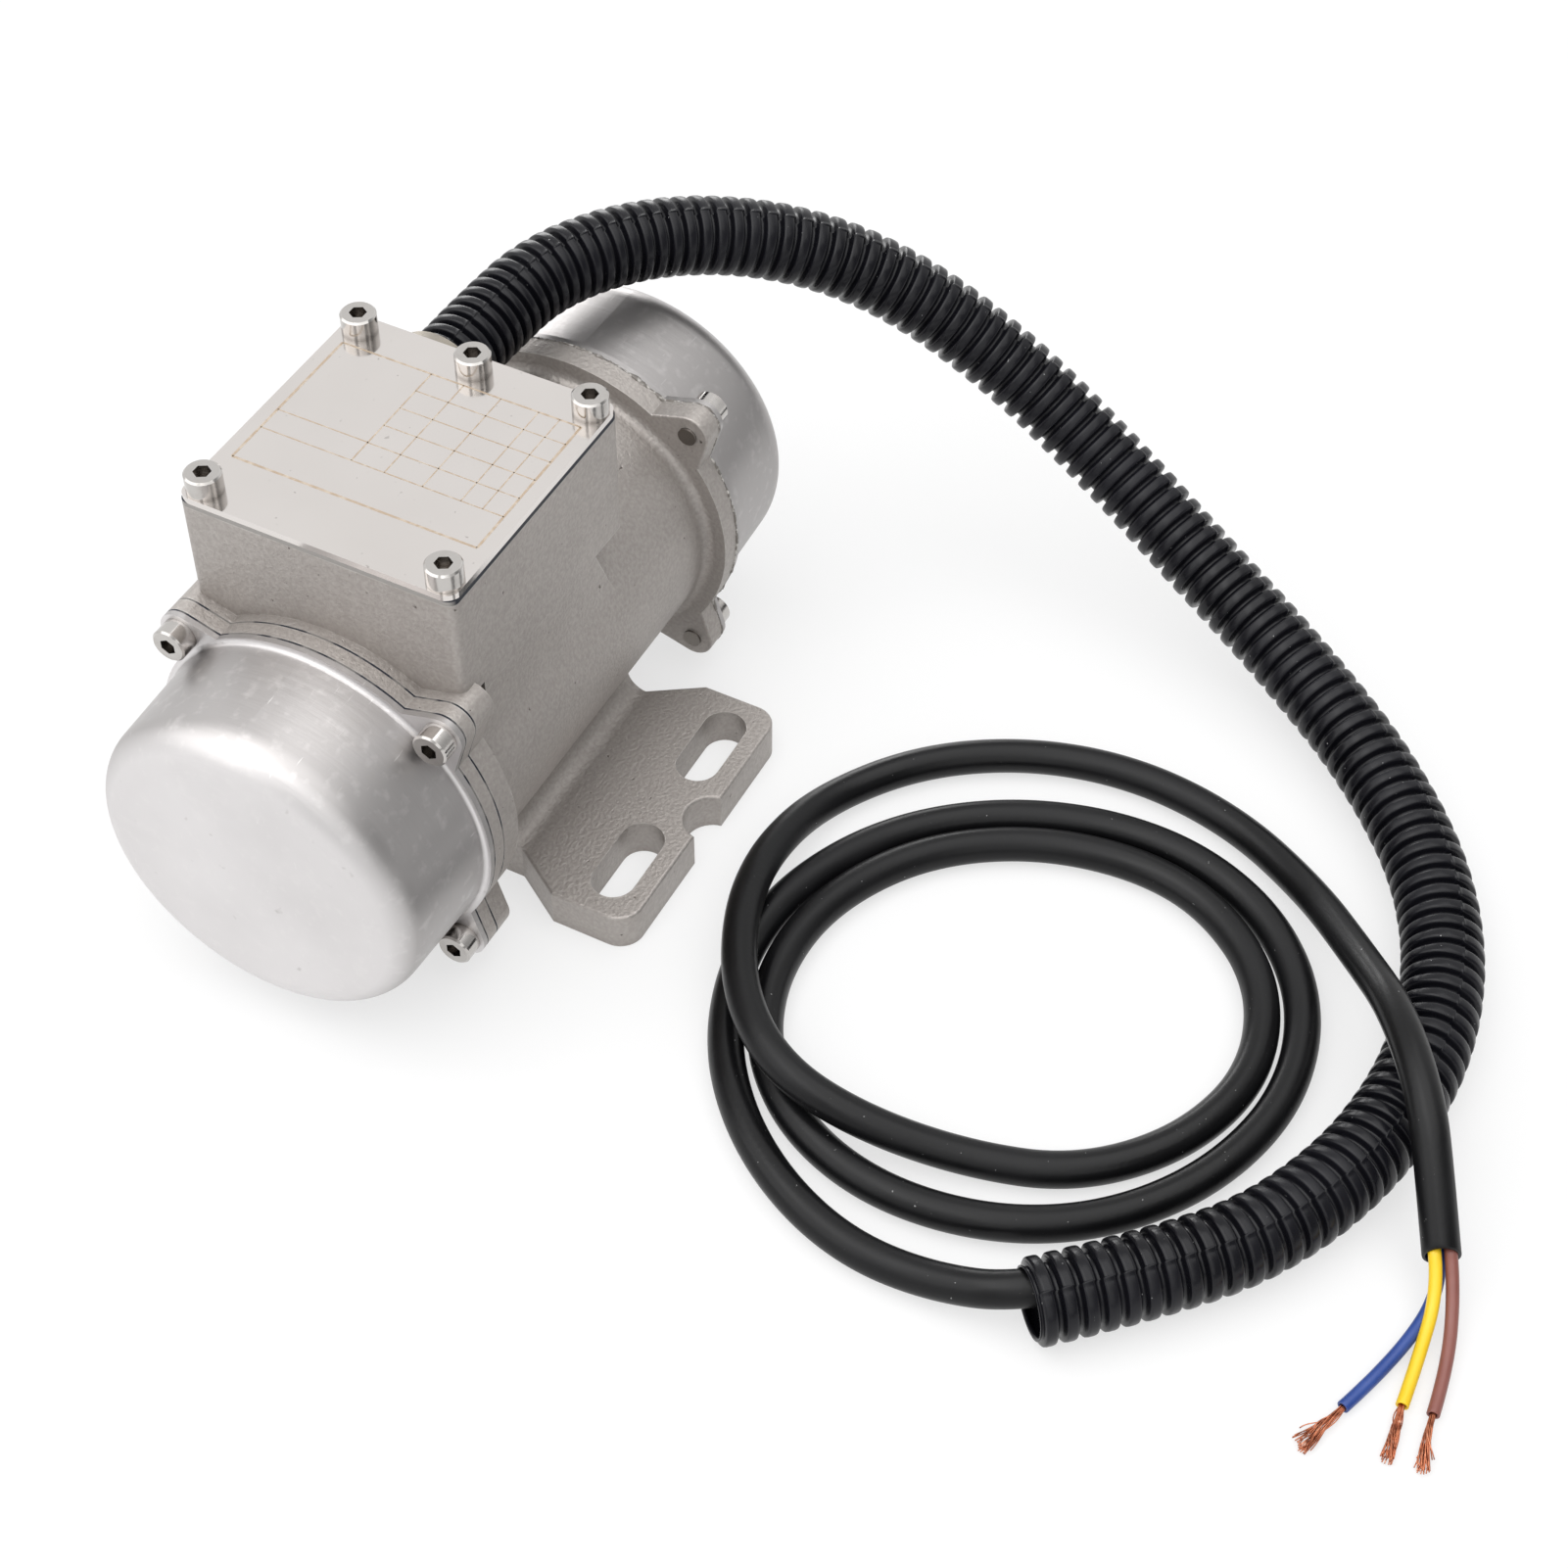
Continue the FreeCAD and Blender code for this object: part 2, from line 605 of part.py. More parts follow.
def cover_cup(grow):
    """The drawn cup's form at the far end; grow is negative for its inside."""
    base = seat_x + gasket_thickness
    tip = base + cover_depth + grow
    wall = cover_base_r + grow
    end = cover_tip_r + grow
    r = cover_corner_r + grow
    c = r * (1 - math.sqrt(0.5))
    z = axis_height
    corner_start = Vec(tip - r, 0, z + end)
    corner_end = Vec(tip, 0, z + end - r)
    corner_middle = Vec(tip - c, 0, z + end - c)
    edges = [
        Part.makeLine(Vec(base, 0, z), Vec(base, 0, z + wall)),
        Part.makeLine(Vec(base, 0, z + wall), corner_start),
        Part.Arc(corner_start, corner_middle, corner_end).toShape(),
        Part.makeLine(corner_end, Vec(tip, 0, z)),
        Part.makeLine(Vec(tip, 0, z), Vec(base, 0, z)),
    ]
    return Part.Face(Part.Wire(edges)).revolve(Vec(0, 0, z), Vec(1, 0, 0), 360)


def cover():
    """The far cover: a drawn cup with an eared rim."""
    base = seat_x + gasket_thickness
    outside = base + cover_sheet
    body = joined([cover_cup(0.0), eared_disc(base, outside)])
    root = [
        edge for edge in body.Edges
        if abs(edge.BoundBox.XMin - outside) < 0.01 and edge.BoundBox.XLength < 0.01
        and edge.BoundBox.YLength < 2 * flange_r - 1
        and abs(edge.BoundBox.Center.y) < 0.01 and abs(edge.BoundBox.Center.z - axis_height) < 0.01
    ]
    body = body.makeFillet(cover_root_r, root)
    return body.cut([cover_cup(-cover_sheet)] + ear_holes(base, outside, clearance_hole_r))


def end_screws():
    """The near and far sets of cover screws."""
    under_head = seat_x + gasket_thickness + cover_sheet
    near_length = under_head + near_face_x + flange_thickness + screw_tip_out
    far_length = under_head - far_face_x + flange_thickness + screw_tip_out
    near = cap_screw(near_length, screw_r - thread_gap)
    far = cap_screw(far_length, screw_r - thread_gap)
    near_set = [aimed(near, ear_place(-under_head, angle), (-1, 0, 0)) for angle in ear_angles]
    far_set = [aimed(far, ear_place(under_head, angle), (1, 0, 0)) for angle in ear_angles]
    return near_set, far_set


# ---- Lid ----
def lid_gasket():
    plate = rounded_box(
        box_near_x, box_far_x, -box_width / 2, box_width / 2, box_top_z, lid_bottom_z, box_corner_r
    )
    opening = block(
        box_near_x + box_wall, box_far_x - box_wall,
        -box_width / 2 + box_wall, box_width / 2 - box_wall, box_top_z, lid_bottom_z,
    ).cut([post(x, y, box_top_z, lid_bottom_z, post_r) for x, y in lid_screw_places])
    holes = [post(x, y, box_top_z, lid_bottom_z, clearance_hole_r) for x, y in lid_screw_places]
    return plate.cut([opening] + holes)


def lid():
    top = lid_bottom_z + lid_thickness
    plate = rounded_box(
        box_near_x, box_far_x, -box_width / 2, box_width / 2, lid_bottom_z, top, lid_corner_r
    )
    return plate.cut([post(x, y, lid_bottom_z, top, clearance_hole_r) for x, y in lid_screw_places])


def lid_screws():
    length = lid_screw_length - screw_tip_out
    screw = cap_screw(length, screw_r - thread_gap)
    top = lid_bottom_z + lid_thickness
    return [aimed(screw, (x, y, top), (0, 0, 1)) for x, y in lid_screw_places]


# ---- Bearings ----
def bearing_ring(inner_face_r, outer_face_r):
    """One ring of the far bearing, with the groove for its balls."""
    middle = (bearing_in_x + plate_x) / 2
    plain = ring(bearing_in_x, plate_x, outer_face_r, inner_face_r)
    groove = Part.makeTorus(ball_circle_r, ball_r + ball_gap, Vec(middle, 0, axis_height), Vec(1, 0, 0))
    return plain.cut(groove)


def bearing():
    """Outer ring, inner ring, balls and cage of the far bearing."""
    outer = bearing_ring(ball_circle_r + ring_land_gap, bearing_outer_r)
    inner = bearing_ring(bearing_bore_r, ball_circle_r - ring_land_gap)
    middle = (bearing_in_x + plate_x) / 2
    balls = []
    pockets = []
    for k in range(ball_count):
        a = 2 * math.pi * (k + ball_turn) / ball_count
        place = Vec(middle, ball_circle_r * math.cos(a), axis_height + ball_circle_r * math.sin(a))
        balls.append(Part.makeSphere(ball_r, place))
        pockets.append(Part.makeSphere(ball_r + pocket_gap, place))
    half = ball_r + cage_side
    cage = ring(
        middle - half, middle + half, ball_circle_r + cage_thickness / 2, ball_circle_r - cage_thickness / 2
    )
    return outer, inner, balls, cage.cut(pockets)


# ---- Shaft and rotor ----
def shaft():
    """The stepped shaft with a circlip groove and a tip bevel at each end."""
    profile = [(0, 0), (0, shaft_core_r), (bearing_in_x, shaft_core_r), (bearing_in_x, bearing_bore_r)]
    profile += [(circlip_x, bearing_bore_r), (circlip_x, bearing_bore_r - groove_depth)]
    groove_end = circlip_x + circlip_thickness
    profile += [(groove_end, bearing_bore_r - groove_depth), (groove_end, bearing_bore_r)]
    profile += [(shaft_end_x - shaft_bevel, bearing_bore_r), (shaft_end_x, bearing_bore_r - shaft_bevel)]
    profile += [(shaft_end_x, 0)]
    half = revolved(profile)
    return joined([half, mirrored(half)])


def circlip():
    """The retaining ring in the far groove, open at the top."""
    x1 = circlip_x + circlip_thickness
    whole = ring(circlip_x, x1, circlip_outer_r, bearing_bore_r - groove_depth)
    spread = circlip_outer_r * math.tan(math.radians(circlip_opening / 2))
    mouth = prism(
        [
            (circlip_x, 0, axis_height), (circlip_x, -spread, axis_height + circlip_outer_r),
            (circlip_x, spread, axis_height + circlip_outer_r),
        ],
        (circlip_thickness, 0, 0),
    )
    return whole.cut(mouth)


def radial_blocks(count, x0, x1, width, r0, r1):
    """Blocks set out evenly around the shaft axis."""
    first = block(x0, x1, -width / 2, width / 2, axis_height + r0, axis_height + r1)
    return [around_axis(first, 360 / count * k) for k in range(count)]


def rotor():
    """Lamination stack and the cast cage in its slots."""
    half = rotor_length / 2
    outer = rotor_r - bar_cover
    slots = radial_blocks(rotor_bars, -half, half, bar_width, outer - bar_depth, outer)
    stack = ring(-half, half, rotor_r, shaft_core_r).cut(slots)
    inner = outer - bar_depth - end_ring_lap
    rings = [ring(half, half + end_ring_length, end_ring_r, inner)]
    rings.append(mirrored(rings[0]))
    bars = radial_blocks(rotor_bars, -half, half, bar_width, outer - bar_depth, outer)
    return stack, joined(rings + bars)


# ---- Stator ----
def stator():
    """Slotted lamination stack and the winding in its slots, with both end turns."""
    half = stator_length / 2
    slot_in = stator_bore_r + slot_tooth_tip
    slot_out = slot_in + stator_slot_depth
    mouths = radial_blocks(stator_slots, -half, half, slot_mouth, rotor_r, slot_in)
    slots = radial_blocks(stator_slots, -half, half, stator_slot_width, slot_in, slot_out)
    core = ring(-half, half, bore_r - seat_gap, stator_bore_r).cut(mouths + slots)
    width = stator_slot_width - 2 * winding_gap
    sides = radial_blocks(stator_slots, -half, half, width, slot_in + winding_gap, slot_out - winding_gap)
    turns = [ring(half, half + end_turn_length, end_turn_outer_r, slot_in + end_turn_inset)]
    turns.append(mirrored(turns[0]))
    return core, joined(turns + sides)


# ---- Eccentric weights ----
def weight(x0, bore):
    """A half-disc weight on the far shaft end, with a split hub that a screw clamps."""
    x1 = x0 + weight_thickness
    lower = block(x0, x1, -weight_r, weight_r, axis_height - weight_r, axis_height - weight_flat)
    disc = rod(x0, x1, weight_r).common(lower)
    hub = rod(x0, x1, weight_hub_r)
    lugs = block(x0, x1, -lug_half_width, lug_half_width, axis_height, axis_height + lug_height)
    body = joined([disc, hub, lugs])
    slit = block(x0, x1, -clamp_slit / 2, clamp_slit / 2, axis_height, axis_height + lug_height)
    middle = (x0 + x1) / 2
    z = axis_height + clamp_screw_z
    hole = Part.makeCylinder(screw_r, 2 * lug_half_width, Vec(middle, -lug_half_width, z), Vec(0, 1, 0))
    return body.cut([rod(x0, x1, bore), slit, hole])


def clamp_screw(x0):
    place = (x0 + weight_thickness / 2, lug_half_width, axis_height + clamp_screw_z)
    return aimed(cap_screw(2 * lug_half_width, screw_r - thread_gap), place, (0, 1, 0))


# ---- Terminal box contents ----
def pole_ys():
    """The poles' places across the box, the first just clear of the capacitor's side."""
    first = capacitor_place()[3] + wire_gap + wire_r
    return [first + pole_pitch * k for k in range(pole_count)]


def terminal_block():
    """The terminal block with its screw wells and wire entries, and its screws."""
    x0 = box_near_x + box_wall + block_wall_gap
    x1 = x0 + block_width
    top = floor_z + block_height
    ys = pole_ys()
    over = pole_pitch / 2 + block_end
    body = block(x0, x1, ys[0] - over, ys[-1] + over, floor_z, top)
    middle = (x0 + x1) / 2
    cutters = []
    screws = []
    for y in ys:
        cutters.append(post(middle, y, floor_z + winding_wire_rise, top, pole_well_r))
        for rise in (winding_wire_rise, supply_wire_rise):
            cutters.append(rod(middle, x1, wire_hole_r, y, floor_z + rise))
        screw = post(middle, y, floor_z + winding_wire_rise, top - pole_screw_drop, pole_screw_r)
        slit = block(
            middle - pole_screw_r, middle + pole_screw_r, y - driver_slit / 2, y + driver_slit / 2,
            top - pole_screw_drop - driver_slit_depth, top - pole_screw_drop,
        )
        screws.append(screw.cut(slit))
    return body.cut(cutters), screws


def capacitor_place():
    """Low and high X and Y of the capacitor, in the box's -Y half at its far end."""
    x1 = box_far_x - box_wall - post_r - capacitor_wall_gap
    y0 = -box_width / 2 + box_wall + capacitor_wall_gap
    return x1 - capacitor_length, x1, y0, y0 + capacitor_width


def capacitor():
    """The run capacitor, and the clip that holds it down."""
    x0, x1, y0, y1 = capacitor_place()
    top = floor_z + capacitor_height
    body = block(x0, x1, y0, y1, floor_z, top)
    body = body.makeFillet(capacitor_edge_r, upright_edges(body, lambda c: True))
    middle = (x0 + x1) / 2
    c0 = middle - clip_width / 2
    c1 = middle + clip_width / 2
    t = clip_thickness
    strap = block(c0, c1, y0 - t, y1 + t, floor_z, top + t).cut(block(c0, c1, y0, y1, floor_z, top))
    tab = block(c0, c1, y1 + t, y1 + t + clip_foot, floor_z, floor_z + t)
    return body, joined([strap, tab])


def earth_place():
    """The earth boss, beside the capacitor in the box's +Y half."""
    return (lead_hole_x, box_width / 2 - box_wall - 2 * earth_boss_r)


def earth_screw():
    x, y = earth_place()
    top = floor_z + earth_boss_height
    head_top = top + earth_head_height
    head = post(x, y, top, head_top, earth_head_r)
    slit = block(
        x - earth_head_r, x + earth_head_r, y - driver_slit / 2, y + driver_slit / 2,
        head_top - driver_slit_depth, head_top,
    )
    shank = post(x, y, top - earth_hole_depth, top, earth_screw_r - thread_gap)
    return joined([head, shank]).cut(slit)


# ---- Conduit fitting ----
def hose_fitting():
    """The flanged fitting: threaded stub through the wall, and the socket for the conduit."""
    collar = rod(box_far_x, box_far_x + fitting_collar_length, fitting_collar_r, fitting_y, fitting_z)
    stub = rod(fitting_inside_x, box_far_x, fitting_stub_r, fitting_y, fitting_z)
    socket = rod(
        hose_start_x, box_far_x + fitting_collar_length, hose_r + hose_socket_gap, fitting_y, fitting_z
    )
    bore = rod(fitting_inside_x, hose_start_x, fitting_bore_r, fitting_y, fitting_z)
    return joined([collar, stub]).cut([socket, bore])


def hose_fitting_nut():
    """The hexagonal lock nut inside the box, with flats towards the screw posts beside it."""
    x1 = box_far_x - box_wall
    x0 = x1 - nut_thickness
    corners = []
    for k in range(6):
        a = math.pi / 3 * (k + 0.5)
        corners.append((x0, fitting_y + nut_r * math.cos(a), fitting_z + nut_r * math.sin(a)))
    body = prism(corners, (nut_thickness, 0, 0))
    return body.cut(rod(x0, x1, fitting_stub_r + thread_gap, fitting_y, fitting_z))


# ---- Cords ----
def arc_path(points, label):
    """Straight runs joined by tangent arcs, each as large as its two runs allow."""
    corners = [Vec(*p) for p in points]
    edges = []
    radii = []
    here = corners[0]
    for before, corner, after in zip(corners, corners[1:], corners[2:]):
        run = arc_share * min((corner - before).Length, (after - corner).Length)
        into = (corner - before).normalize()
        out = (after - corner).normalize()
        half_turn = into.getAngle(out) / 2
        radius = run / math.tan(half_turn)
        first = corner - into * run
        last = corner + out * run
        inward = (out - into).normalize()
        middle = corner + inward * (radius / math.cos(half_turn) - radius)
        edges.append(Part.LineSegment(here, first).toShape())
        edges.append(Part.Arc(first, middle, last).toShape())
        radii.append(radius)
        here = last
    edges.append(Part.LineSegment(here, corners[-1]).toShape())
    if label:
        print(label, "arc radii:", " ".join(f"{r:.0f}" for r in radii))
    return Part.Wire(edges)


def cord(points, r, label=""):
    """A round tube along a route."""
    path = arc_path(points, label)
    start = Vec(*points[0])
    heading = Vec(*points[1]) - start
    section = Part.Wire(Part.makeCircle(r, start, heading))
    tube = path.makePipeShell([section], True, False)
    if label:
        share = tube.Volume / (math.pi * r**2 * path.Length)
        print(label, f"length {path.Length:.1f}, volume over section times length {share:.4f}")
    return tube


def hose():
    """The conduit, open at its mouth, where the cable comes out."""
    tube = cord(hose_route, hose_r, "hose")
    mouth = Vec(*hose_route[-1])
    inward = (Vec(*hose_route[-2]) - mouth).normalize()
    bore = Part.makeCylinder(hose_bore_r, hose_bore_depth, mouth, inward)
    return tube.cut(bore)


def core(name, turn):
    """One insulated core from the cable's cut face, and the bare copper at its end."""
    end = Vec(*cable_points[-1])
    along = (end - Vec(*cable_points[-2])).normalize()
    side = along.cross(Vec(0, 0, 1)).normalize()
    up = side.cross(along)
    spread = core_r / math.sin(math.pi / 3) + core_gap
    a = math.radians(turn)
    start = end + side * (spread * math.cos(a)) + up * (spread * math.sin(a))
    route = [start, start + along * core_lead_out] + [Vec(*p) for p in core_points[name]]
    insulated = cord(route, core_r)
    heading = (route[-1] - route[-2]).normalize()
    copper = Part.makeCylinder(copper_r, strip_length, route[-1], heading)
    return insulated, copper


def box_wires():
    """The winding leads up through the floor, and the supply cores from the fitting."""
    block_x = box_near_x + box_wall + block_wall_gap + block_width
    winding = []
    supply = []
    for k, y in enumerate(pole_ys()):
        share = k - (pole_count - 1) / 2
        foot_y = lead_hole_y + share * wire_pitch
        low = (lead_hole_x, foot_y, axis_height + end_turn_outer_r)
        high = (lead_hole_x, foot_y, floor_z + winding_wire_rise)
        winding.append(cord([low, high, (block_x, y, floor_z + winding_wire_rise)], wire_r))
        y_out = fitting_y + share * wire_pitch
        supply_z = floor_z + supply_wire_rise
        supply.append(cord([
            (fitting_inside_x, y_out, fitting_z), (fitting_inside_x - wire_lead, y_out, fitting_z),
            (block_x + wire_lead, y, supply_z), (block_x, y, supply_z),
        ], wire_r))
    return winding, supply


def main():
    os.makedirs("parts", exist_ok=True)
    save("housing", housing())
    save("end_shield", end_shield())
    save("shield_gasket", eared_ring(near_face_x - gasket_thickness, near_face_x, bore_r, clearance_hole_r))
    far_cover = cover()
    save("cover_far", far_cover)
    save("cover_near", mirrored(far_cover))
    gasket = eared_ring(seat_x, seat_x + gasket_thickness, cover_base_r - cover_sheet, clearance_hole_r)
    save("cover_gasket_far", gasket)
    save("cover_gasket_near", mirrored(gasket))
    near_screws, far_screws = end_screws()
    save("cover_screws_near", near_screws)
    save("cover_screws_far", far_screws)
    save("lid_gasket", lid_gasket())
    save("lid", lid())
    save("lid_screws", lid_screws())

    outer, inner, balls, cage = bearing()
    for end, at_end in (("far", lambda s: s), ("near", mirrored)):
        save("bearing_outer_ring_" + end, at_end(outer))
        save("bearing_inner_ring_" + end, at_end(inner))
        save("bearing_balls_" + end, [at_end(ball) for ball in balls])
        save("bearing_cage_" + end, at_end(cage))
        save("fixed_weight_" + end, at_end(weight(weight_start_x, bearing_bore_r)))
        save("fixed_weight_screw_" + end, at_end(clamp_screw(weight_start_x)))
        save("swing_weight_" + end, at_end(weight(swing_start_x, bearing_bore_r + swing_bore_gap)))
        save("swing_weight_screw_" + end, at_end(clamp_screw(swing_start_x)))
        save("circlip_" + end, at_end(circlip()))
    save("shaft", shaft())
    rotor_core, rotor_cage = rotor()
    save("rotor_core", rotor_core)
    save("rotor_cage", rotor_cage)
    stator_core, stator_winding = stator()
    save("stator_core", stator_core)
    save("stator_winding", stator_winding)

    block_body, block_screws = terminal_block()
    save("terminal_block", block_body)
    save("terminal_screws", block_screws)
    capacitor_body, clip = capacitor()
    save("capacitor", capacitor_body)
    save("capacitor_clip", clip)
    save("earth_screw", earth_screw())
    winding_leads, supply_leads = box_wires()
    save("winding_leads", winding_leads)
    save("supply_leads", supply_leads)
    save("hose_fitting", hose_fitting())
    save("hose_fitting_nut", hose_fitting_nut())
    save("hose", hose())
    save("cable", cord(cable_points, cable_r, "cable"))
    for name, turn in (("core_blue", 330), ("core_yellow", 90), ("core_brown", 210)):
        insulated, copper = core(name, turn)
        save(name, insulated)
        save(name.replace("core", "copper"), copper)


main()
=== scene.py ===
import json
import math
import random

import bpy
from mathutils import Matrix, Vector
from mathutils.bvhtree import BVHTree

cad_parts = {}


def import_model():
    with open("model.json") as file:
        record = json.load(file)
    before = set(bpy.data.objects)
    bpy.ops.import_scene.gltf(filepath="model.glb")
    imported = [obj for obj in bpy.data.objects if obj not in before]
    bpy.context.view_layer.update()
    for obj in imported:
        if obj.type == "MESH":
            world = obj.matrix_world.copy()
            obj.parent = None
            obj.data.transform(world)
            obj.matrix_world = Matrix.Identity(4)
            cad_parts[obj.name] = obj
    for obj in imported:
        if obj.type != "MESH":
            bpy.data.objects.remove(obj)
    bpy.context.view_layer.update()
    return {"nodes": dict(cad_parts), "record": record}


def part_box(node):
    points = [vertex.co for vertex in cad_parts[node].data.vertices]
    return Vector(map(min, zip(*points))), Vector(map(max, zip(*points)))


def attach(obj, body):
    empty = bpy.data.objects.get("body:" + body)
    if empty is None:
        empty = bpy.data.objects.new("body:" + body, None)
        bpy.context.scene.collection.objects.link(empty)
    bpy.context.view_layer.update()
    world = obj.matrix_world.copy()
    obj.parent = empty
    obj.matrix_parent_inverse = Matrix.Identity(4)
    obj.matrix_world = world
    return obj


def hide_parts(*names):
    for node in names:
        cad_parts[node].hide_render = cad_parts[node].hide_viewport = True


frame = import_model()
nodes = frame["nodes"]
rng = random.Random(7)

MM = 0.001


# ---- Camera ----
CAMERA_AT = Vector((-0.32907, -0.23894, 0.4397))
CAMERA_HEADING = math.radians(26.98)    # of its line of sight, from +X towards +Y
CAMERA_DIP = math.radians(48.03)
CAMERA_ROLL = math.radians(0.57)
CAMERA_LENS = 65.92
CAMERA_SENSOR = 36


def camera():
    """The camera, high up beside the near end, looking down along the motor and its cords."""
    c, s = math.cos(CAMERA_HEADING), math.sin(CAMERA_HEADING)
    right = Vector((s, -c, 0))
    forward = Vector((c * math.cos(CAMERA_DIP), s * math.cos(CAMERA_DIP), -math.sin(CAMERA_DIP)))
    up = right.cross(forward)
    rolled_right = right * math.cos(CAMERA_ROLL) + up * math.sin(CAMERA_ROLL)
    rolled_up = up * math.cos(CAMERA_ROLL) - right * math.sin(CAMERA_ROLL)
    data = bpy.data.cameras.new("camera")
    data.lens = CAMERA_LENS
    data.sensor_width = CAMERA_SENSOR
    data.clip_start = 0.01
    data.clip_end = 20
    view = bpy.data.objects.new("camera", data)
    bpy.context.scene.collection.objects.link(view)
    turn = Matrix((rolled_right, rolled_up, -forward)).transposed()
    view.matrix_world = Matrix.Translation(CAMERA_AT) @ turn.to_4x4()
    bpy.context.scene.camera = view


# ---- Node helpers ----
def math_node(tree, operation, *values):
    """What a Math node makes of its values, each another node's output or a plain number."""
    node = tree.nodes.new("ShaderNodeMath")
    node.operation = operation
    for socket, value in zip(node.inputs, values):
        if isinstance(value, bpy.types.NodeSocket):
            tree.links.new(value, socket)
        else:
            socket.default_value = value
    return node.outputs["Value"]


def map_node(tree, value, low, high, start=0.0, end=1.0, curve="LINEAR"):
    """The value taken from start...end to low...high, and held there outside."""
    node = tree.nodes.new("ShaderNodeMapRange")
    node.interpolation_type = curve
    node.inputs["From Min"].default_value = start
    node.inputs["From Max"].default_value = end
    node.inputs["To Min"].default_value = low
    node.inputs["To Max"].default_value = high
    tree.links.new(value, node.inputs["Value"])
    return node.outputs["Result"]


def dot_node(tree):
    """A node for the cosine of the angle between two directions."""
    node = tree.nodes.new("ShaderNodeVectorMath")
    node.operation = "DOT_PRODUCT"
    return node


# ---- Studio: lamps, world and floor ----
LAMP_AIM = (0.0, -0.06, 0.03)
lamps = [                               # name, place, side of the square softbox, watts
    ("key", (-0.45, 0.5, 0.85), 1.3, 6.5),
    ("fill", (-0.75, -0.65, 0.55), 0.8, 2.2),
    ("rim", (0.75, 0.55, 0.12), 0.5, 3),
    ("top", (-0.1, -0.2, 1.3), 1.7, 14),
]
WORLD_STRENGTH = 0.45                   # of the light that the world sheds on surfaces
FLAG_SIDE = (-0.35, -0.9, 0.25)         # direction of the dark flag that metal mirrors
FLAG_EDGE = 0.25                        # the flag's soft edge goes from here to its core, as cosines
FLAG_CORE = 0.85
FLAG_SHADE = 0.22                       # brightness of the flag's core
FLOOR_SIZE = 6
FLOOR_AT = (0, -0.08, -0.0002)
FLOOR_COLOUR = (0.86, 0.86, 0.86, 1)
FLOOR_GLOW = 0.64                       # share of plain white in the floor as the camera sees it
WHITE = (1, 1, 1, 1)


def lamp(name, place, size, power):
    """A square softbox that faces the object's middle."""
    data = bpy.data.lights.new(name, "AREA")
    data.shape = "SQUARE"
    data.size = size
    data.energy = power
    softbox = bpy.data.objects.new(name, data)
    bpy.context.scene.collection.objects.link(softbox)
    softbox.location = place
    softbox.rotation_euler = (Vector(LAMP_AIM) - Vector(place)).to_track_quat("-Z", "Y").to_euler()


def seen_directly(tree):
    """1 where a camera, mirror or glass ray looks, and 0 for the rays that light other surfaces."""
    rays = tree.nodes.new("ShaderNodeLightPath").outputs
    camera_or_mirror = math_node(tree, "MAXIMUM", rays["Is Camera Ray"], rays["Is Glossy Ray"])
    return math_node(tree, "MAXIMUM", camera_or_mirror, rays["Is Transmission Ray"])


def mirrored_studio(tree):
    """White to the camera; metal sees a white studio with a dark flag on the -Y side."""
    rays = tree.nodes.new("ShaderNodeLightPath").outputs
    place = tree.nodes.new("ShaderNodeTexCoord")
    flag = dot_node(tree)
    flag.inputs[1].default_value = FLAG_SIDE
    tree.links.new(place.outputs["Generated"], flag.inputs[0])
    shade = map_node(tree, flag.outputs["Value"], 1.0, FLAG_SHADE, FLAG_EDGE, FLAG_CORE, "SMOOTHSTEP")
    white = tree.nodes.new("ShaderNodeMix")
    white.inputs["B"].default_value = 1.0
    tree.links.new(rays["Is Camera Ray"], white.inputs["Factor"])
    tree.links.new(shade, white.inputs["A"])
    return white.outputs["Result"]


def world():
    """A white backdrop, which sheds a soft light from all round."""
    studio = bpy.data.worlds.new("studio")
    bpy.context.scene.world = studio
    studio.use_nodes = True
    tree = studio.node_tree
    tree.nodes.clear()
    out = tree.nodes.new("ShaderNodeOutputWorld")
    back = tree.nodes.new("ShaderNodeBackground")
    back.inputs["Color"].default_value = WHITE
    strength = tree.nodes.new("ShaderNodeMix")
    strength.inputs["A"].default_value = WORLD_STRENGTH
    tree.links.new(seen_directly(tree), strength.inputs["Factor"])
    tree.links.new(mirrored_studio(tree), strength.inputs["B"])
    tree.links.new(strength.outputs["Result"], back.inputs["Strength"])
    tree.links.new(back.outputs["Background"], out.inputs["Surface"])


def pale_floor():
    """A pale floor that looks near white and keeps the object's shadow."""
    bpy.ops.mesh.primitive_plane_add(size=FLOOR_SIZE, location=FLOOR_AT)
    floor = bpy.context.object
    floor.name = "floor"
    material = bpy.data.materials.new("pale_floor")
    material.use_nodes = True
    tree = material.node_tree
    tree.nodes.clear()
    out = tree.nodes.new("ShaderNodeOutputMaterial")
    matte = tree.nodes.new("ShaderNodeBsdfDiffuse")
    matte.inputs["Color"].default_value = FLOOR_COLOUR
    glow = tree.nodes.new("ShaderNodeEmission")
    glow.inputs["Color"].default_value = WHITE
    mix = tree.nodes.new("ShaderNodeMixShader")
    tree.links.new(math_node(tree, "MULTIPLY", seen_directly(tree), FLOOR_GLOW), mix.inputs["Fac"])
    tree.links.new(matte.outputs["BSDF"], mix.inputs[1])
    tree.links.new(glow.outputs["Emission"], mix.inputs[2])
    tree.links.new(mix.outputs["Shader"], out.inputs["Surface"])
    floor.data.materials.append(material)


def surroundings():
    """The world, the floor and the lamps, with every colour shown as it is."""
    world()
    pale_floor()
    for name, place, size, power in lamps:
        lamp(name, place, size, power)
    bpy.context.scene.view_settings.view_transform = "Standard"


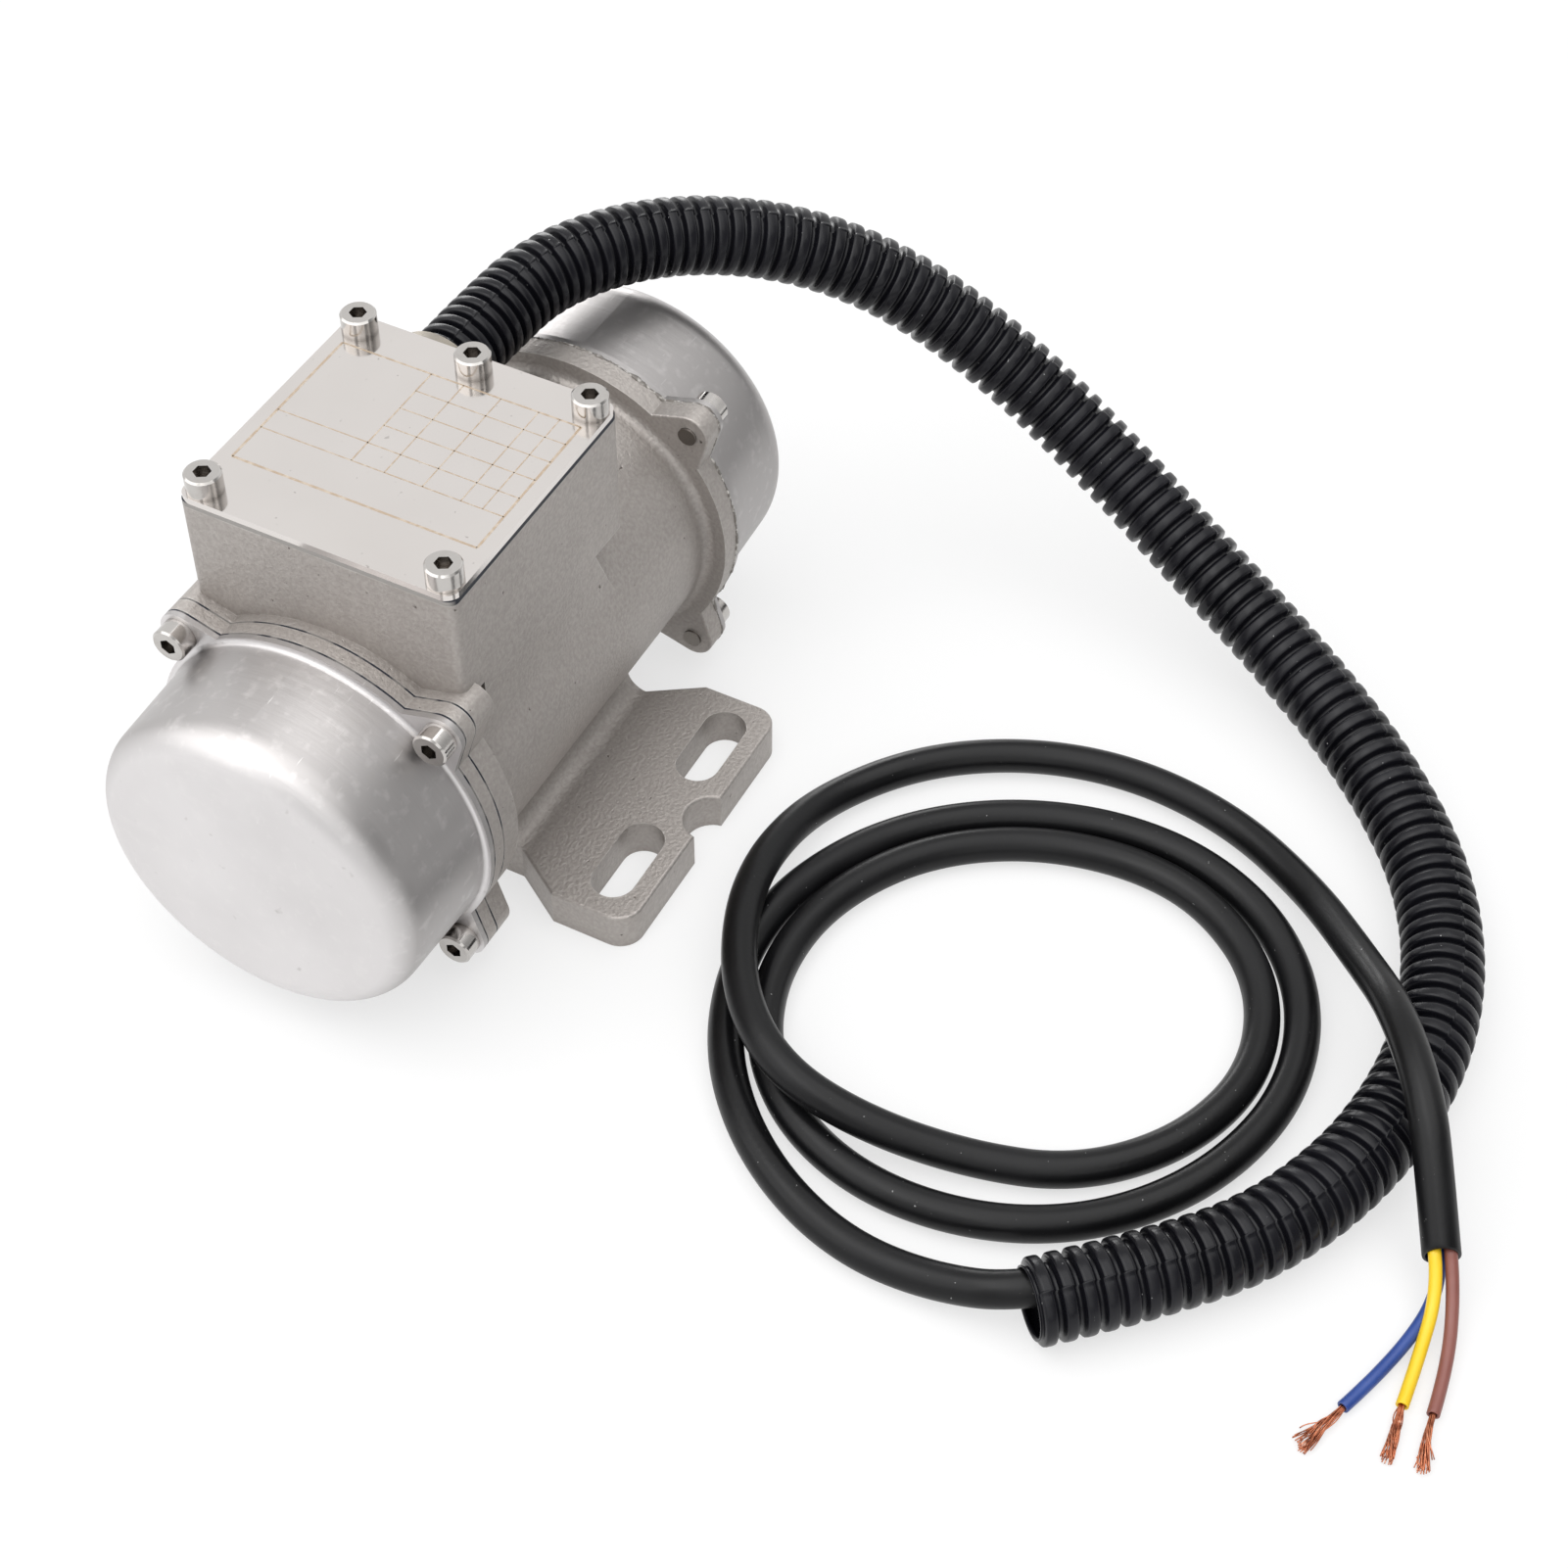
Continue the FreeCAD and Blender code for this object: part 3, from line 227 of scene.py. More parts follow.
# ---- A material and its parts ----
class Shader:
    """A principled material whose extra nodes are added one by one."""

    def __init__(self, name, colour, metallic=0.0, roughness=0.5):
        self.material = bpy.data.materials.new(name)
        self.material.use_nodes = True
        self.tree = self.material.node_tree
        self.bsdf = self.tree.nodes["Principled BSDF"]
        self.bsdf.inputs["Base Color"].default_value = (*colour, 1)
        self.bsdf.inputs["Metallic"].default_value = metallic
        self.bsdf.inputs["Roughness"].default_value = roughness
        self.colour = colour
        self.place = self.tree.nodes.new("ShaderNodeTexCoord").outputs["Object"]

    def noise(self, scale, detail=2.0, stretch=(1, 1, 1)):
        """A noise value over the piece; scale is in bumps per metre."""
        mapping = self.tree.nodes.new("ShaderNodeMapping")
        mapping.inputs["Scale"].default_value = stretch
        node = self.tree.nodes.new("ShaderNodeTexNoise")
        node.inputs["Scale"].default_value = scale
        node.inputs["Detail"].default_value = detail
        self.tree.links.new(self.place, mapping.inputs["Vector"])
        self.tree.links.new(mapping.outputs["Vector"], node.inputs["Vector"])
        return node.outputs["Fac"]

    def ranged(self, value, low, high, start=0.0, end=1.0):
        """The value taken from start...end to low...high."""
        return map_node(self.tree, value, low, high, start, end)

    def tint(self, value, other):
        """The base colour goes to another one as the value goes from 0 to 1."""
        node = self.tree.nodes.new("ShaderNodeMix")
        node.data_type = "RGBA"
        node.inputs["A"].default_value = (*self.colour, 1)
        node.inputs["B"].default_value = (*other, 1)
        before = self.bsdf.inputs["Base Color"].links
        if before:
            self.tree.links.new(before[0].from_socket, node.inputs["A"])
        self.tree.links.new(value, node.inputs["Factor"])
        self.tree.links.new(node.outputs["Result"], self.bsdf.inputs["Base Color"])

    def rough(self, value):
        """The roughness follows the value."""
        self.tree.links.new(value, self.bsdf.inputs["Roughness"])

    def bump(self, value, height):
        """Raises the surface by a height in metres where the value is 1."""
        node = self.tree.nodes.new("ShaderNodeBump")
        node.inputs["Distance"].default_value = height
        self.tree.links.new(value, node.inputs["Height"])
        before = self.bsdf.inputs["Normal"].links
        if before:
            self.tree.links.new(before[0].from_socket, node.inputs["Normal"])
        self.tree.links.new(node.outputs["Normal"], self.bsdf.inputs["Normal"])

    def on(self, piece):
        """Gives the piece this material alone."""
        piece.data.materials.clear()
        piece.data.materials.append(self.material)


# ---- Cord routes: the same control points as the construction, in metres ----
hose_route = [
    (0.01705, 0.014045, 0.0825), (0.03605, 0.014045, 0.0825), (0.0565, 0.0105, 0.0848),
    (0.078, -0.003, 0.0833), (0.096, -0.022, 0.0763), (0.107, -0.043, 0.0654), (0.1115, -0.067, 0.050),
    (0.109, -0.092, 0.035), (0.101, -0.117, 0.024), (0.0905, -0.143, 0.0155), (0.075, -0.1685, 0.010),
    (0.052, -0.1895, 0.008), (0.0225, -0.2005, 0.008), (-0.009, -0.200, 0.008),
    (-0.0375, -0.1893, 0.008), (-0.0572, -0.1718, 0.008), (-0.0711, -0.1565, 0.008),
]
cable_route = [
    (-0.0603, -0.1663, 0.0093), (-0.0708, -0.1548, 0.0093), (-0.073, -0.1384, 0.0042),
    (-0.073, -0.1218, 0.0035), (-0.067, -0.1053, 0.0035), (-0.0562, -0.0908, 0.0035),
    (-0.0415, -0.0798, 0.0035), (-0.022, -0.0736, 0.0035), (-0.002, -0.0752, 0.0035),
    (0.0183, -0.0852, 0.0035), (0.0333, -0.1024, 0.0035), (0.0413, -0.1234, 0.0035),
    (0.0413, -0.1445, 0.0035), (0.0322, -0.1636, 0.0035), (0.0157, -0.1764, 0.0035),
    (-0.006, -0.1806, 0.0035), (-0.028, -0.1748, 0.0035), (-0.046, -0.1615, 0.0035),
    (-0.057, -0.143, 0.0035), (-0.060, -0.121, 0.0035), (-0.054, -0.1017, 0.0035),
    (-0.0405, -0.0875, 0.0035), (-0.022, -0.081, 0.0035), (-0.002, -0.0827, 0.0035),
    (0.0171, -0.0935, 0.0035), (0.0298, -0.1113, 0.0035), (0.0347, -0.132, 0.0035),
    (0.0315, -0.1502, 0.0035), (0.0181, -0.1667, 0.0035), (-0.003, -0.1732, 0.0035),
    (-0.0237, -0.1672, 0.0035), (-0.0396, -0.1524, 0.0035), (-0.046, -0.133, 0.0037),
    (-0.0505, -0.113, 0.0082), (-0.0495, -0.096, 0.0122), (-0.038, -0.0818, 0.0122),
    (-0.0202, -0.0723, 0.012), (-0.0007, -0.0678, 0.008), (0.020, -0.0696, 0.0035),
    (0.0393, -0.0828, 0.0035), (0.052, -0.1022, 0.0035), (0.057, -0.1242, 0.0035),
    (0.0534, -0.147, 0.0038), (0.0411, -0.1673, 0.0063), (0.0241, -0.182, 0.0138),
    (0.0077, -0.1939, 0.0228), (-0.009, -0.205, 0.023), (-0.0195, -0.2115, 0.0155),
    (-0.0285, -0.2171, 0.008),
]
core_routes = {
    "blue": [(-0.048, -0.2165, 0.0016), (-0.061, -0.2115, 0.0013)],
    "yellow": [(-0.0465, -0.220, 0.0016), (-0.056, -0.2205, 0.0013)],
    "brown": [(-0.045, -0.225, 0.0016), (-0.0552, -0.2258, 0.0013)],
}
core_turns = {"blue": 270, "yellow": 30, "brown": 150}     # degrees round the cable's middle
HOSE_R = 8.0 * MM
CABLE_R = 3.5 * MM
CORE_R = 1.2 * MM
CORE_GAP = 0.3 * MM
CORE_LEAD_OUT = 6.0 * MM            # straight out of the cable's cut face
STRIP_LENGTH = 11.5 * MM            # of bare copper beyond the insulation

UP = Vector((0, 0, 1))


# ---- Meshes ----
def add_mesh(name, points, faces, smooth=True):
    """A new piece that rides on the motor's body."""
    data = bpy.data.meshes.new(name)
    data.from_pydata([tuple(p) for p in points], [], faces)
    data.update()
    for face in data.polygons:
        face.use_smooth = smooth
    piece = bpy.data.objects.new(name, data)
    bpy.context.scene.collection.objects.link(piece)
    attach(piece, "motor_body")
    return piece


class Skin:
    """Rings of points joined one to the next; several skins can share a mesh."""

    def __init__(self):
        self.points = []
        self.faces = []

    def rings(self, rings, cap_start=False, cap_end=False):
        """Adds one skin over rings of as many points each."""
        first = len(self.points)
        count = len(rings[0])
        for ring in rings:
            self.points.extend(ring)
        for k in range(len(rings) - 1):
            a = first + k * count
            b = a + count
            for i in range(count):
                j = (i + 1) % count
                self.faces.append((a + i, a + j, b + j, b + i))
        if cap_start:
            self.faces.append(tuple(first + i for i in reversed(range(count))))
        if cap_end:
            last = first + (len(rings) - 1) * count
            self.faces.append(tuple(last + i for i in range(count)))

    def mesh(self, name, smooth=True):
        """The piece that the skins make."""
        return add_mesh(name, self.points, self.faces, smooth)


# ---- Lines along a cord's route ----
def route_points(name, points):
    """The points of a route's NURBS line."""
    data = bpy.data.curves.new(name, "CURVE")
    data.dimensions = "3D"
    data.resolution_u = 24
    spline = data.splines.new("NURBS")
    spline.points.add(len(points) - 1)
    for point, place in zip(spline.points, points):
        point.co = (*place, 1)
    spline.order_u = 3
    spline.use_endpoint_u = True
    curve = bpy.data.objects.new(name, data)
    line = bpy.data.meshes.new_from_object(curve)
    found = [vertex.co.copy() for vertex in line.vertices]
    bpy.data.objects.remove(curve)
    bpy.data.meshes.remove(line)
    return found


class Route:
    """A line with a frame that doesn't twist, measured from its start."""

    def __init__(self, points):
        self.points = [points[0]]
        for point in points[1:]:
            if (point - self.points[-1]).length > 1e-6:
                self.points.append(point)
        last = len(self.points) - 1
        self.at = [0.0]
        for k in range(last):
            self.at.append(self.at[-1] + (self.points[k + 1] - self.points[k]).length)
        self.length = self.at[-1]
        self.along = []
        for k in range(last + 1):
            before, after = self.points[max(k - 1, 0)], self.points[min(k + 1, last)]
            self.along.append((after - before).normalized())
        side = self.along[0].cross(UP).normalized()
        self.side = []
        for along in self.along:
            side = (side - along * side.dot(along)).normalized()
            self.side.append(side)
        self.k = 0

    def frame(self, s):
        """Point, direction, side and top at a distance from the start; it may lie beyond either end."""
        k = self.k if self.at[self.k] <= s else 0
        while k < len(self.at) - 2 and self.at[k + 1] < s:
            k += 1
        self.k = k
        share = (s - self.at[k]) / (self.at[k + 1] - self.at[k])
        clear = min(max(share, 0.0), 1.0)
        point = self.points[k].lerp(self.points[k + 1], clear)
        along = self.along[k].lerp(self.along[k + 1], clear).normalized()
        side = self.side[k].lerp(self.side[k + 1], clear)
        side = (side - along * side.dot(along)).normalized()
        if share < 0:
            point = point + along * s
        elif share > 1:
            point = point + along * (s - self.length)
        return point, along, side, side.cross(along)

    def ring(self, s, radius, angles, shift=lambda angle: 0.0):
        """Points round the line; radius is a number or a function of the angle."""
        point, along, side, top = self.frame(s)
        ring = []
        for angle in angles:
            r = radius(angle) if callable(radius) else radius
            ring.append(
                point + side * (r * math.cos(angle)) + top * (r * math.sin(angle)) + along * shift(angle)
            )
        return ring


def turn_angles(count):
    """Evenly spaced angles round a full turn."""
    return [2 * math.pi * k / count for k in range(count)]


# ---- Conduit ----
HOSE_SIDES = 44
CORRUGATION = 3.75 * MM
CORRUGATION_PRESSED = 3.15 * MM     # beside the fitting
PRESSED_LENGTH = 55 * MM
PRESSED_EASE = 35 * MM             # the length over which the pitch grows back
GROOVE_R = 6.3 * MM
HOSE_WALL = 0.45 * MM
CREST_SPREAD = 0.006                # most that a crest is lower than the full radius, as a share
corrugation_form = [                # share of the pitch, share of the way from groove to crest
    (0.00, 0.0), (0.13, 0.03), (0.165, 0.4), (0.20, 0.8), (0.25, 0.95), (0.36, 1.0),
    (0.64, 1.0), (0.75, 0.95), (0.80, 0.8), (0.835, 0.4), (0.87, 0.03),
]
lip_form = [(0.0, 0.45), (0.12, 0.5), (0.12, 0.1)]     # mm past the last groove, mm outside it
INNER_PITCHES = 4                   # corrugations modelled inside the open mouth

HOSE_SEAM = math.radians(75)        # place of one seam; the other is opposite
SEAM_HALF_WIDTH = math.radians(1.2)
seam_points = (-2.2, -0.9, 0.9, 2.2)    # degrees from the seam, where its ridge starts and is full
SEAM_SHIFT = 0.16 * MM              # of each mould half along the conduit
GROOVE_RIDGE = 0.04 * MM            # the seam's height in a groove
CREST_RIDGE = 0.13 * MM             # what it gains on a crest


def conduit():
    """The corrugated conduit with its open mouth and the two moulding seams along it."""
    route = Route(route_points("conduit_line", hose_route))
    seams = (HOSE_SEAM, HOSE_SEAM + math.pi)
    angles = turn_angles(HOSE_SIDES)
    for seam in seams:
        angles += [(seam + math.radians(d)) % (2 * math.pi) for d in seam_points]
    angles.sort()

    def off_seam(angle):
        return min(abs((angle - seam + math.pi) % (2 * math.pi) - math.pi) for seam in seams)

    def shift(angle):
        half = (angle - HOSE_SEAM) % (2 * math.pi) < math.pi
        return SEAM_SHIFT if half else -SEAM_SHIFT

    skin = Skin()
    outer = []
    starts = []
    s = 0.0
    while s < route.length - 0.5 * CORRUGATION:
        eased = min(max((s - PRESSED_LENGTH) / PRESSED_EASE, 0.0), 1.0)
        pitch = CORRUGATION_PRESSED + (CORRUGATION - CORRUGATION_PRESSED) * eased
        starts.append((s, pitch))
        s += pitch
    stretch = route.length / s
    for place, pitch in starts:
        place, pitch = place * stretch, pitch * stretch
        crest = HOSE_R * (1 + rng.uniform(-CREST_SPREAD, 0.0))
        for share, rise in corrugation_form:
            r = GROOVE_R + (crest - GROOVE_R) * rise
            ridge = CREST_RIDGE * rise + GROOVE_RIDGE

            def radius(angle, r=r, ridge=ridge):
                return r + (ridge if off_seam(angle) < SEAM_HALF_WIDTH else 0.0)

            outer.append(route.ring(place + share * pitch, radius, angles, shift))
    outer += [route.ring(route.length + d * MM, GROOVE_R + r * MM, angles) for d, r in lip_form]
    inner = []
    for place, pitch in reversed(starts[-INNER_PITCHES:]):
        place, pitch = place * stretch, pitch * stretch
        for share, rise in reversed(corrugation_form):
            r = GROOVE_R + (HOSE_R - GROOVE_R) * rise - HOSE_WALL
            inner.append(route.ring(place + share * pitch, r, angles))
    skin.rings(outer + inner, cap_start=True, cap_end=True)
    piece = skin.mesh("conduit")
    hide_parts("hose")
    return piece


# ---- Cable, its cores and their strands ----
CABLE_SIDES = 28
CABLE_STEP = 1.4 * MM
CUT_SIDE = Vector((-0.57, -0.04, 0.82))     # towards the side where the sheath's cut leans back
CUT_SLANT = 0.5                     # how far it leans back there, as a share of the radius
CORE_SIDES = 20
CORE_STEPS = 40
CORE_TUCK = 2.0 * MM                # how far the insulation starts inside the cut face
# Each cut end, from the outside round its edge and inwards: mm back from the cut, radius in mm.
sheath_end_form = [
    (0.35, 3.5), (0.08, 3.44), (0.0, 3.3), (-0.05, 3.1), (0.0, 2.92), (0.2, 2.86), (2.2, 2.8),
]
insulation_end_form = [(0.12, 1.2), (0.02, 1.17), (-0.03, 1.08), (0.0, 0.85), (0.1, 0.72), (1.0, 0.7)]


def cable():
    """The black cable's sheath, hollowed a little where it is cut."""
    route = Route(route_points("cable_line", cable_route))
    angles = turn_angles(CABLE_SIDES)
    steps = int(route.length / CABLE_STEP)
    end = route.length
    rings = [route.ring(end * k / steps, CABLE_R, angles) for k in range(steps - 1)]
    _, _, side, top = route.frame(end)
    highest = math.atan2(CUT_SIDE.dot(top), CUT_SIDE.dot(side))
    for back, r in sheath_end_form:

        def slant(angle, r=r):
            return -CUT_SLANT * r * MM * math.cos(angle - highest)

        rings.append(route.ring(end - back * MM, r * MM, angles, slant))
    skin = Skin()
    skin.rings(rings, cap_start=True, cap_end=True)
    piece = skin.mesh("supply_cable")
    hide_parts("cable")
    return piece


def core_route(name):
    """A core's control points, from the cable's cut face to where it is stripped."""
    end = Vector(cable_route[-1])
    along = (end - Vector(cable_route[-2])).normalized()
    side = along.cross(UP).normalized()
    up = side.cross(along)
    spread = CORE_R / math.sin(math.pi / 3) + CORE_GAP
    turn = math.radians(core_turns[name])
    start = end + side * (spread * math.cos(turn)) + up * (spread * math.sin(turn))
    return [tuple(start), tuple(start + along * CORE_LEAD_OUT)] + core_routes[name]


def core(name):
    """One core's insulation, with its cut end, and its bare strands."""
    points = core_route(name)
    route = Route(route_points("core_line_" + name, points))
    angles = turn_angles(CORE_SIDES)
    rings = [route.ring(-CORE_TUCK, CORE_R, angles)]
    rings += [route.ring(route.length * k / CORE_STEPS, CORE_R, angles) for k in range(CORE_STEPS)]
    for back, r in insulation_end_form:
        rings.append(route.ring(route.length - back * MM, r * MM, angles))
    skin = Skin()
    skin.rings(rings, cap_start=True, cap_end=True)
    piece = skin.mesh("insulation_" + name)
    copper = strands(name, route)
    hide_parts("core_" + name)
    return piece, copper


# Each bundle's flare: half width, half height, and its tip's drift sideways, in mm.
strand_flares = {"blue": (2.1, 0.9, 0.0), "yellow": (1.4, 0.9, -0.6), "brown": (1.3, 0.9, -0.8)}
STRANDS = 34
STRAY_STRANDS = 5                   # of them, shorter and bent further out
STRAY_REACH = 0.8                   # their length, as a share of the others'
STRAY_BEND = (1.1, 0.9)             # most that they bend sideways and upwards, in mm
BUNDLE_BEND = (0.32, 0.3)           # and the others
STRAND_TWIST = 2.2                  # most that a strand winds round the bundle, in radians
STRAND_ROLL = 2.2                   # radians of its rise and fall, at one wave
FLARE_POWER = 1.7                   # the bundle opens slowly, then faster towards its tip
STRAND_R = 0.115 * MM
STRAND_LOWEST = 1.2 * STRAND_R      # of its middle above the floor
STRAND_SIDES = 6
STRAND_STEPS = 16
BUNDLE_R = 0.55 * MM                # of the strands where they leave the insulation
STRAND_TUCK = 0.8 * MM              # how far they start inside it
STRAND_SAG = 0.35 * MM


def strands(name, route):
    """The frayed copper strands beyond a core's insulation."""
    tip, along, _, _ = route.frame(route.length)
    along = Vector((along.x, along.y, 0.0)).normalized()
    side = along.cross(UP)
    wide, high, drift = (value * MM for value in strand_flares[name])
    skin = Skin()
    angles = turn_angles(STRAND_SIDES)
    for n in range(STRANDS):
        stray = n >= STRANDS - STRAY_STRANDS
        most_curl, most_lift = STRAY_BEND if stray else BUNDLE_BEND
        around = rng.uniform(0, 2 * math.pi)
        out = math.sqrt(rng.random())
        reach = STRIP_LENGTH * rng.uniform(0.86, 1.0) * (STRAY_REACH if stray else 1.0)
        twist = rng.uniform(0.5, 1.0)
        curl = rng.uniform(-1.0, 1.0) * most_curl * MM
        lift = rng.uniform(-0.4, 1.0) * most_lift * MM
        wave = rng.uniform(1.0, 2.6)
        line = []
        for k in range(STRAND_STEPS + 1):
            share = k / STRAND_STEPS
            flare = share ** FLARE_POWER
            turn = around + twist * STRAND_TWIST * share
            across = (BUNDLE_R + (wide - BUNDLE_R) * flare) * out * math.cos(turn)
            above = (BUNDLE_R + (high - BUNDLE_R) * flare) * out * math.sin(turn)
            across += drift * share * share + curl * math.sin(wave * math.pi * share) * share
            above += lift * math.sin(wave * STRAND_ROLL * share) * share
            forward = reach * share - STRAND_TUCK * (1 - share)
            point = tip + along * forward + side * across + UP * above
            point.z -= STRAND_SAG * share
            point.z = max(point.z, STRAND_LOWEST)
            line.append(point)
        strand = Route(line)
        skin.rings([strand.ring(s, STRAND_R, angles) for s in strand.at], cap_start=True, cap_end=True)
    piece = skin.mesh("strands_" + name)
    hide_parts("copper_" + name)
    return piece


# ---- Sealant squeezed out of the far joint ----
BEAD_SIDES = 7
BEAD_STEPS = 540
BEAD_START = 0.2                    # half thickness of the bead, in mm, and what it strays around
BEAD_MEAN = 0.22
BEAD_LEAST = 0.1
BEAD_MOST = 0.5
BEAD_RETURN = 0.25                  # share of the way back to the mean at each step
BEAD_CHANGE = 0.14                  # most that it grows or shrinks at each step
BEAD_SWAY = 0.1 * MM                # along the shaft, to each side
BEAD_SINK = 0.05 * MM               # of the bead's middle under the joint's edge
BEAD_WIDTH = 1.25                   # of the bead, as a share of its thickness
OUTSIDE = 0.1                       # from the shaft axis, beyond every piece


def outline(node, x, count):
    """The node's outermost points round the shaft axis, in the plane at x."""
    tree = BVHTree.FromObject(node, bpy.context.evaluated_depsgraph_get())
    low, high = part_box(node.name)
    centre = Vector((x, (low[1] + high[1]) / 2, (low[2] + high[2]) / 2))
    found = []
    for angle in turn_angles(count):
        out = Vector((0, math.cos(angle), math.sin(angle)))
        hit = tree.ray_cast(centre + out * OUTSIDE, -out)[0]
        if hit:
            found.append((hit, out))
    return found


def sealant():
    """An uneven bead of joint compound all round the far joint."""
    low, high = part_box("cover_gasket_far")
    x = (low[0] + high[0]) / 2
    rim = outline(nodes["cover_gasket_far"], x, BEAD_STEPS)
    shaft_way = Vector((1, 0, 0))
    angles = turn_angles(BEAD_SIDES)
    rings = []
    thick = BEAD_START
    for hit, out in rim:
        thick += rng.uniform(-BEAD_CHANGE, BEAD_CHANGE) + (BEAD_MEAN - thick) * BEAD_RETURN
        r = max(min(thick, BEAD_MOST), BEAD_LEAST) * MM
        middle = hit - out * BEAD_SINK + shaft_way * rng.uniform(-BEAD_SWAY, BEAD_SWAY)
        rings.append([
            middle + out * (r * math.cos(a)) + shaft_way * (BEAD_WIDTH * r * math.sin(a)) for a in angles
        ])
    skin = Skin()
    skin.rings(rings + [rings[0]])
    piece = skin.mesh("joint_sealant")
    return piece


# ---- Blank ruled plate etched in the lid ----
# Places are measured from the lid's near edge along X, and from its +Y side along Y.
RULING_START = 13 * MM
RULING_END = 49 * MM
RULING_MARGIN = 3 * MM              # from the lid's sides
RULING_HEAD = 22.5 * MM             # where the plain fields end and the cells begin
RULING_COLUMN = 22 * MM
RULING_SECOND_COLUMN = 27.5 * MM
cell_columns = (27.4, 32.8, 38.2, 43.6)     # mm
cell_rows = (29.5, 37.5, 45.5, 50.0)        # mm
CELL_LINE = 0.28                    # width of the cells' lines, in mm
RULING_PIECE = 2 * MM               # length of a line's pieces, each of its own width
PIECE_LEAST = 0.85                  # least width of a piece, as a share of the line's
RULING_RISE = 0.012 * MM


def lid_ruling():
    """The etched frame and cells of the lid's plate, all left blank."""
    low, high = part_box("lid")
    near, side = low[0], high[1]
    top = high[2]
    x0, x1 = near + RULING_START, near + RULING_END
    y0, y1 = side - RULING_MARGIN, low[1] + RULING_MARGIN
    inner = side - RULING_HEAD
    column = near + RULING_COLUMN
    second = near + RULING_SECOND_COLUMN
    lines = [                           # from x, y to x, y and width in mm
        (x0, y0, x0, y1, 0.55), (x1, y0, x1, y1, 0.45), (x0, y0, x1, y0, 0.55), (x0, y1, x1, y1, 0.55),
        (column, y0, column, y1, 0.3), (second, y0, second, inner, 0.3), (column, inner, x1, inner, 0.35),
    ]
    for x in cell_columns:
        lines.append((near + x * MM, inner, near + x * MM, y1, CELL_LINE))
    for y in cell_rows:
        lines.append((column, side - y * MM, x1, side - y * MM, CELL_LINE))
    raised = UP * RULING_RISE
    skin = Skin()
    for xa, ya, xb, yb, width in lines:
        along = Vector((xb - xa, yb - ya, 0)).normalized()
        across = Vector((-along.y, along.x, 0)) * (width * MM / 2)
        run = Vector((xb - xa, yb - ya, 0)).length
        pieces = max(int(run / RULING_PIECE), 1)
        rings = []
        for k in range(pieces + 1):
            at = Vector((xa, ya, top)) + along * (run * k / pieces)
            edge = across * rng.uniform(PIECE_LEAST, 1.0)
            rings.append([at - edge - raised, at + edge - raised, at + edge + raised, at - edge + raised])
        skin.rings(rings, cap_start=True, cap_end=True)
    piece = skin.mesh("lid_ruling", smooth=False)
    return piece


# ---- Materials ----
SHAPE_SAMPLES = 6                   # rays by which a material finds its piece's edges and recesses
RUBBER_COLOUR = (0.012, 0.014, 0.022)


def edge_wear_and_highlight(shader, reach=0.45 * MM):
    """High on worn stretches of the piece's edges, lightened as wear and as a painted highlight, low on
    the rest of them and 0 on its faces.
    """
    tree = shader.tree
    rounded = tree.nodes.new("ShaderNodeBevel")
    rounded.inputs["Radius"].default_value = reach
    rounded.samples = SHAPE_SAMPLES
    flat = tree.nodes.new("ShaderNodeNewGeometry")
    likeness = dot_node(tree)
    tree.links.new(rounded.outputs["Normal"], likeness.inputs[0])
    tree.links.new(flat.outputs["Normal"], likeness.inputs[1])
    edge = shader.ranged(likeness.outputs["Value"], 1.0, 0.0, 0.86, 0.985)
    patches = shader.ranged(shader.noise(230, 3), 0.12, 0.9, 0.42, 0.62)
    return math_node(tree, "MULTIPLY", edge, patches)


def facing(shader):
    """The X part of the direction the surface faces."""
    split = shader.tree.nodes.new("ShaderNodeSeparateXYZ")
    geometry = shader.tree.nodes.new("ShaderNodeNewGeometry")
    shader.tree.links.new(geometry.outputs["Normal"], split.inputs["Vector"])
    return split.outputs["X"]


def across_x(shader):
    """0 where the surface faces along X and 1 where it faces across it."""
    return shader.ranged(math_node(shader.tree, "ABSOLUTE", facing(shader)), 1.0, 0.0, 0.35, 0.9)


def toward_minus_x(shader):
    """1 on flat ends turned towards -X and 0 elsewhere."""
    return shader.ranged(facing(shader), 1.0, 0.0, -0.98, -0.9)


def recesses(shader, reach, most=1.0):
    """High deep in holes and corners and 0 on open surfaces; the mask where shade is painted."""
    node = shader.tree.nodes.new("ShaderNodeAmbientOcclusion")
    node.samples = SHAPE_SAMPLES
    node.inputs["Distance"].default_value = reach
    return shader.ranged(node.outputs["AO"], most, 0.0, 0.25, 0.75)


def cast_stainless():
    """Bead-blasted cast stainless: warm grey, with fine grain, pits, dull patches, bright edges that are
    worn and partly a painted highlight, and painted shade in recesses and corners.
    """
    shader = Shader("cast_stainless", (0.39, 0.36, 0.339), 0.62, 0.5)
    patches = shader.noise(28, 3)
    grain = shader.noise(1300, 4)
    pits = shader.noise(700, 2)
    shader.tint(shader.ranged(patches, 0, 0.55, 0.35, 0.7), (0.35, 0.325, 0.305))
    shader.tint(shader.ranged(grain, 0, 0.5, 0.45, 0.72), (0.5, 0.47, 0.445))
    shader.tint(shader.ranged(grain, 0.35, 0, 0.32, 0.46), (0.32, 0.295, 0.275))
    shader.tint(shader.ranged(pits, 0, 0.85, 0.735, 0.765), (0.09, 0.075, 0.065))
    # Worn edges, lightened partly as a painted highlight of their rounding.
    shader.tint(edge_wear_and_highlight(shader), (0.60, 0.58, 0.55))
    # Painted shade: darker deep in recesses and corners, such as under the box's overhang and at the
    # roots of the flanges and foot.
    shader.tint(recesses(shader, 5 * MM, 0.55), (0.17, 0.15, 0.135))
    shader.rough(shader.ranged(patches, 0.42, 0.56, 0.3, 0.7))
    shader.bump(grain, 0.16 * MM)
    shader.bump(shader.ranged(pits, 0, -1, 0.70, 0.79), 0.12 * MM)
    shader.bump(shader.noise(160, 2), 0.10 * MM)
    return shader


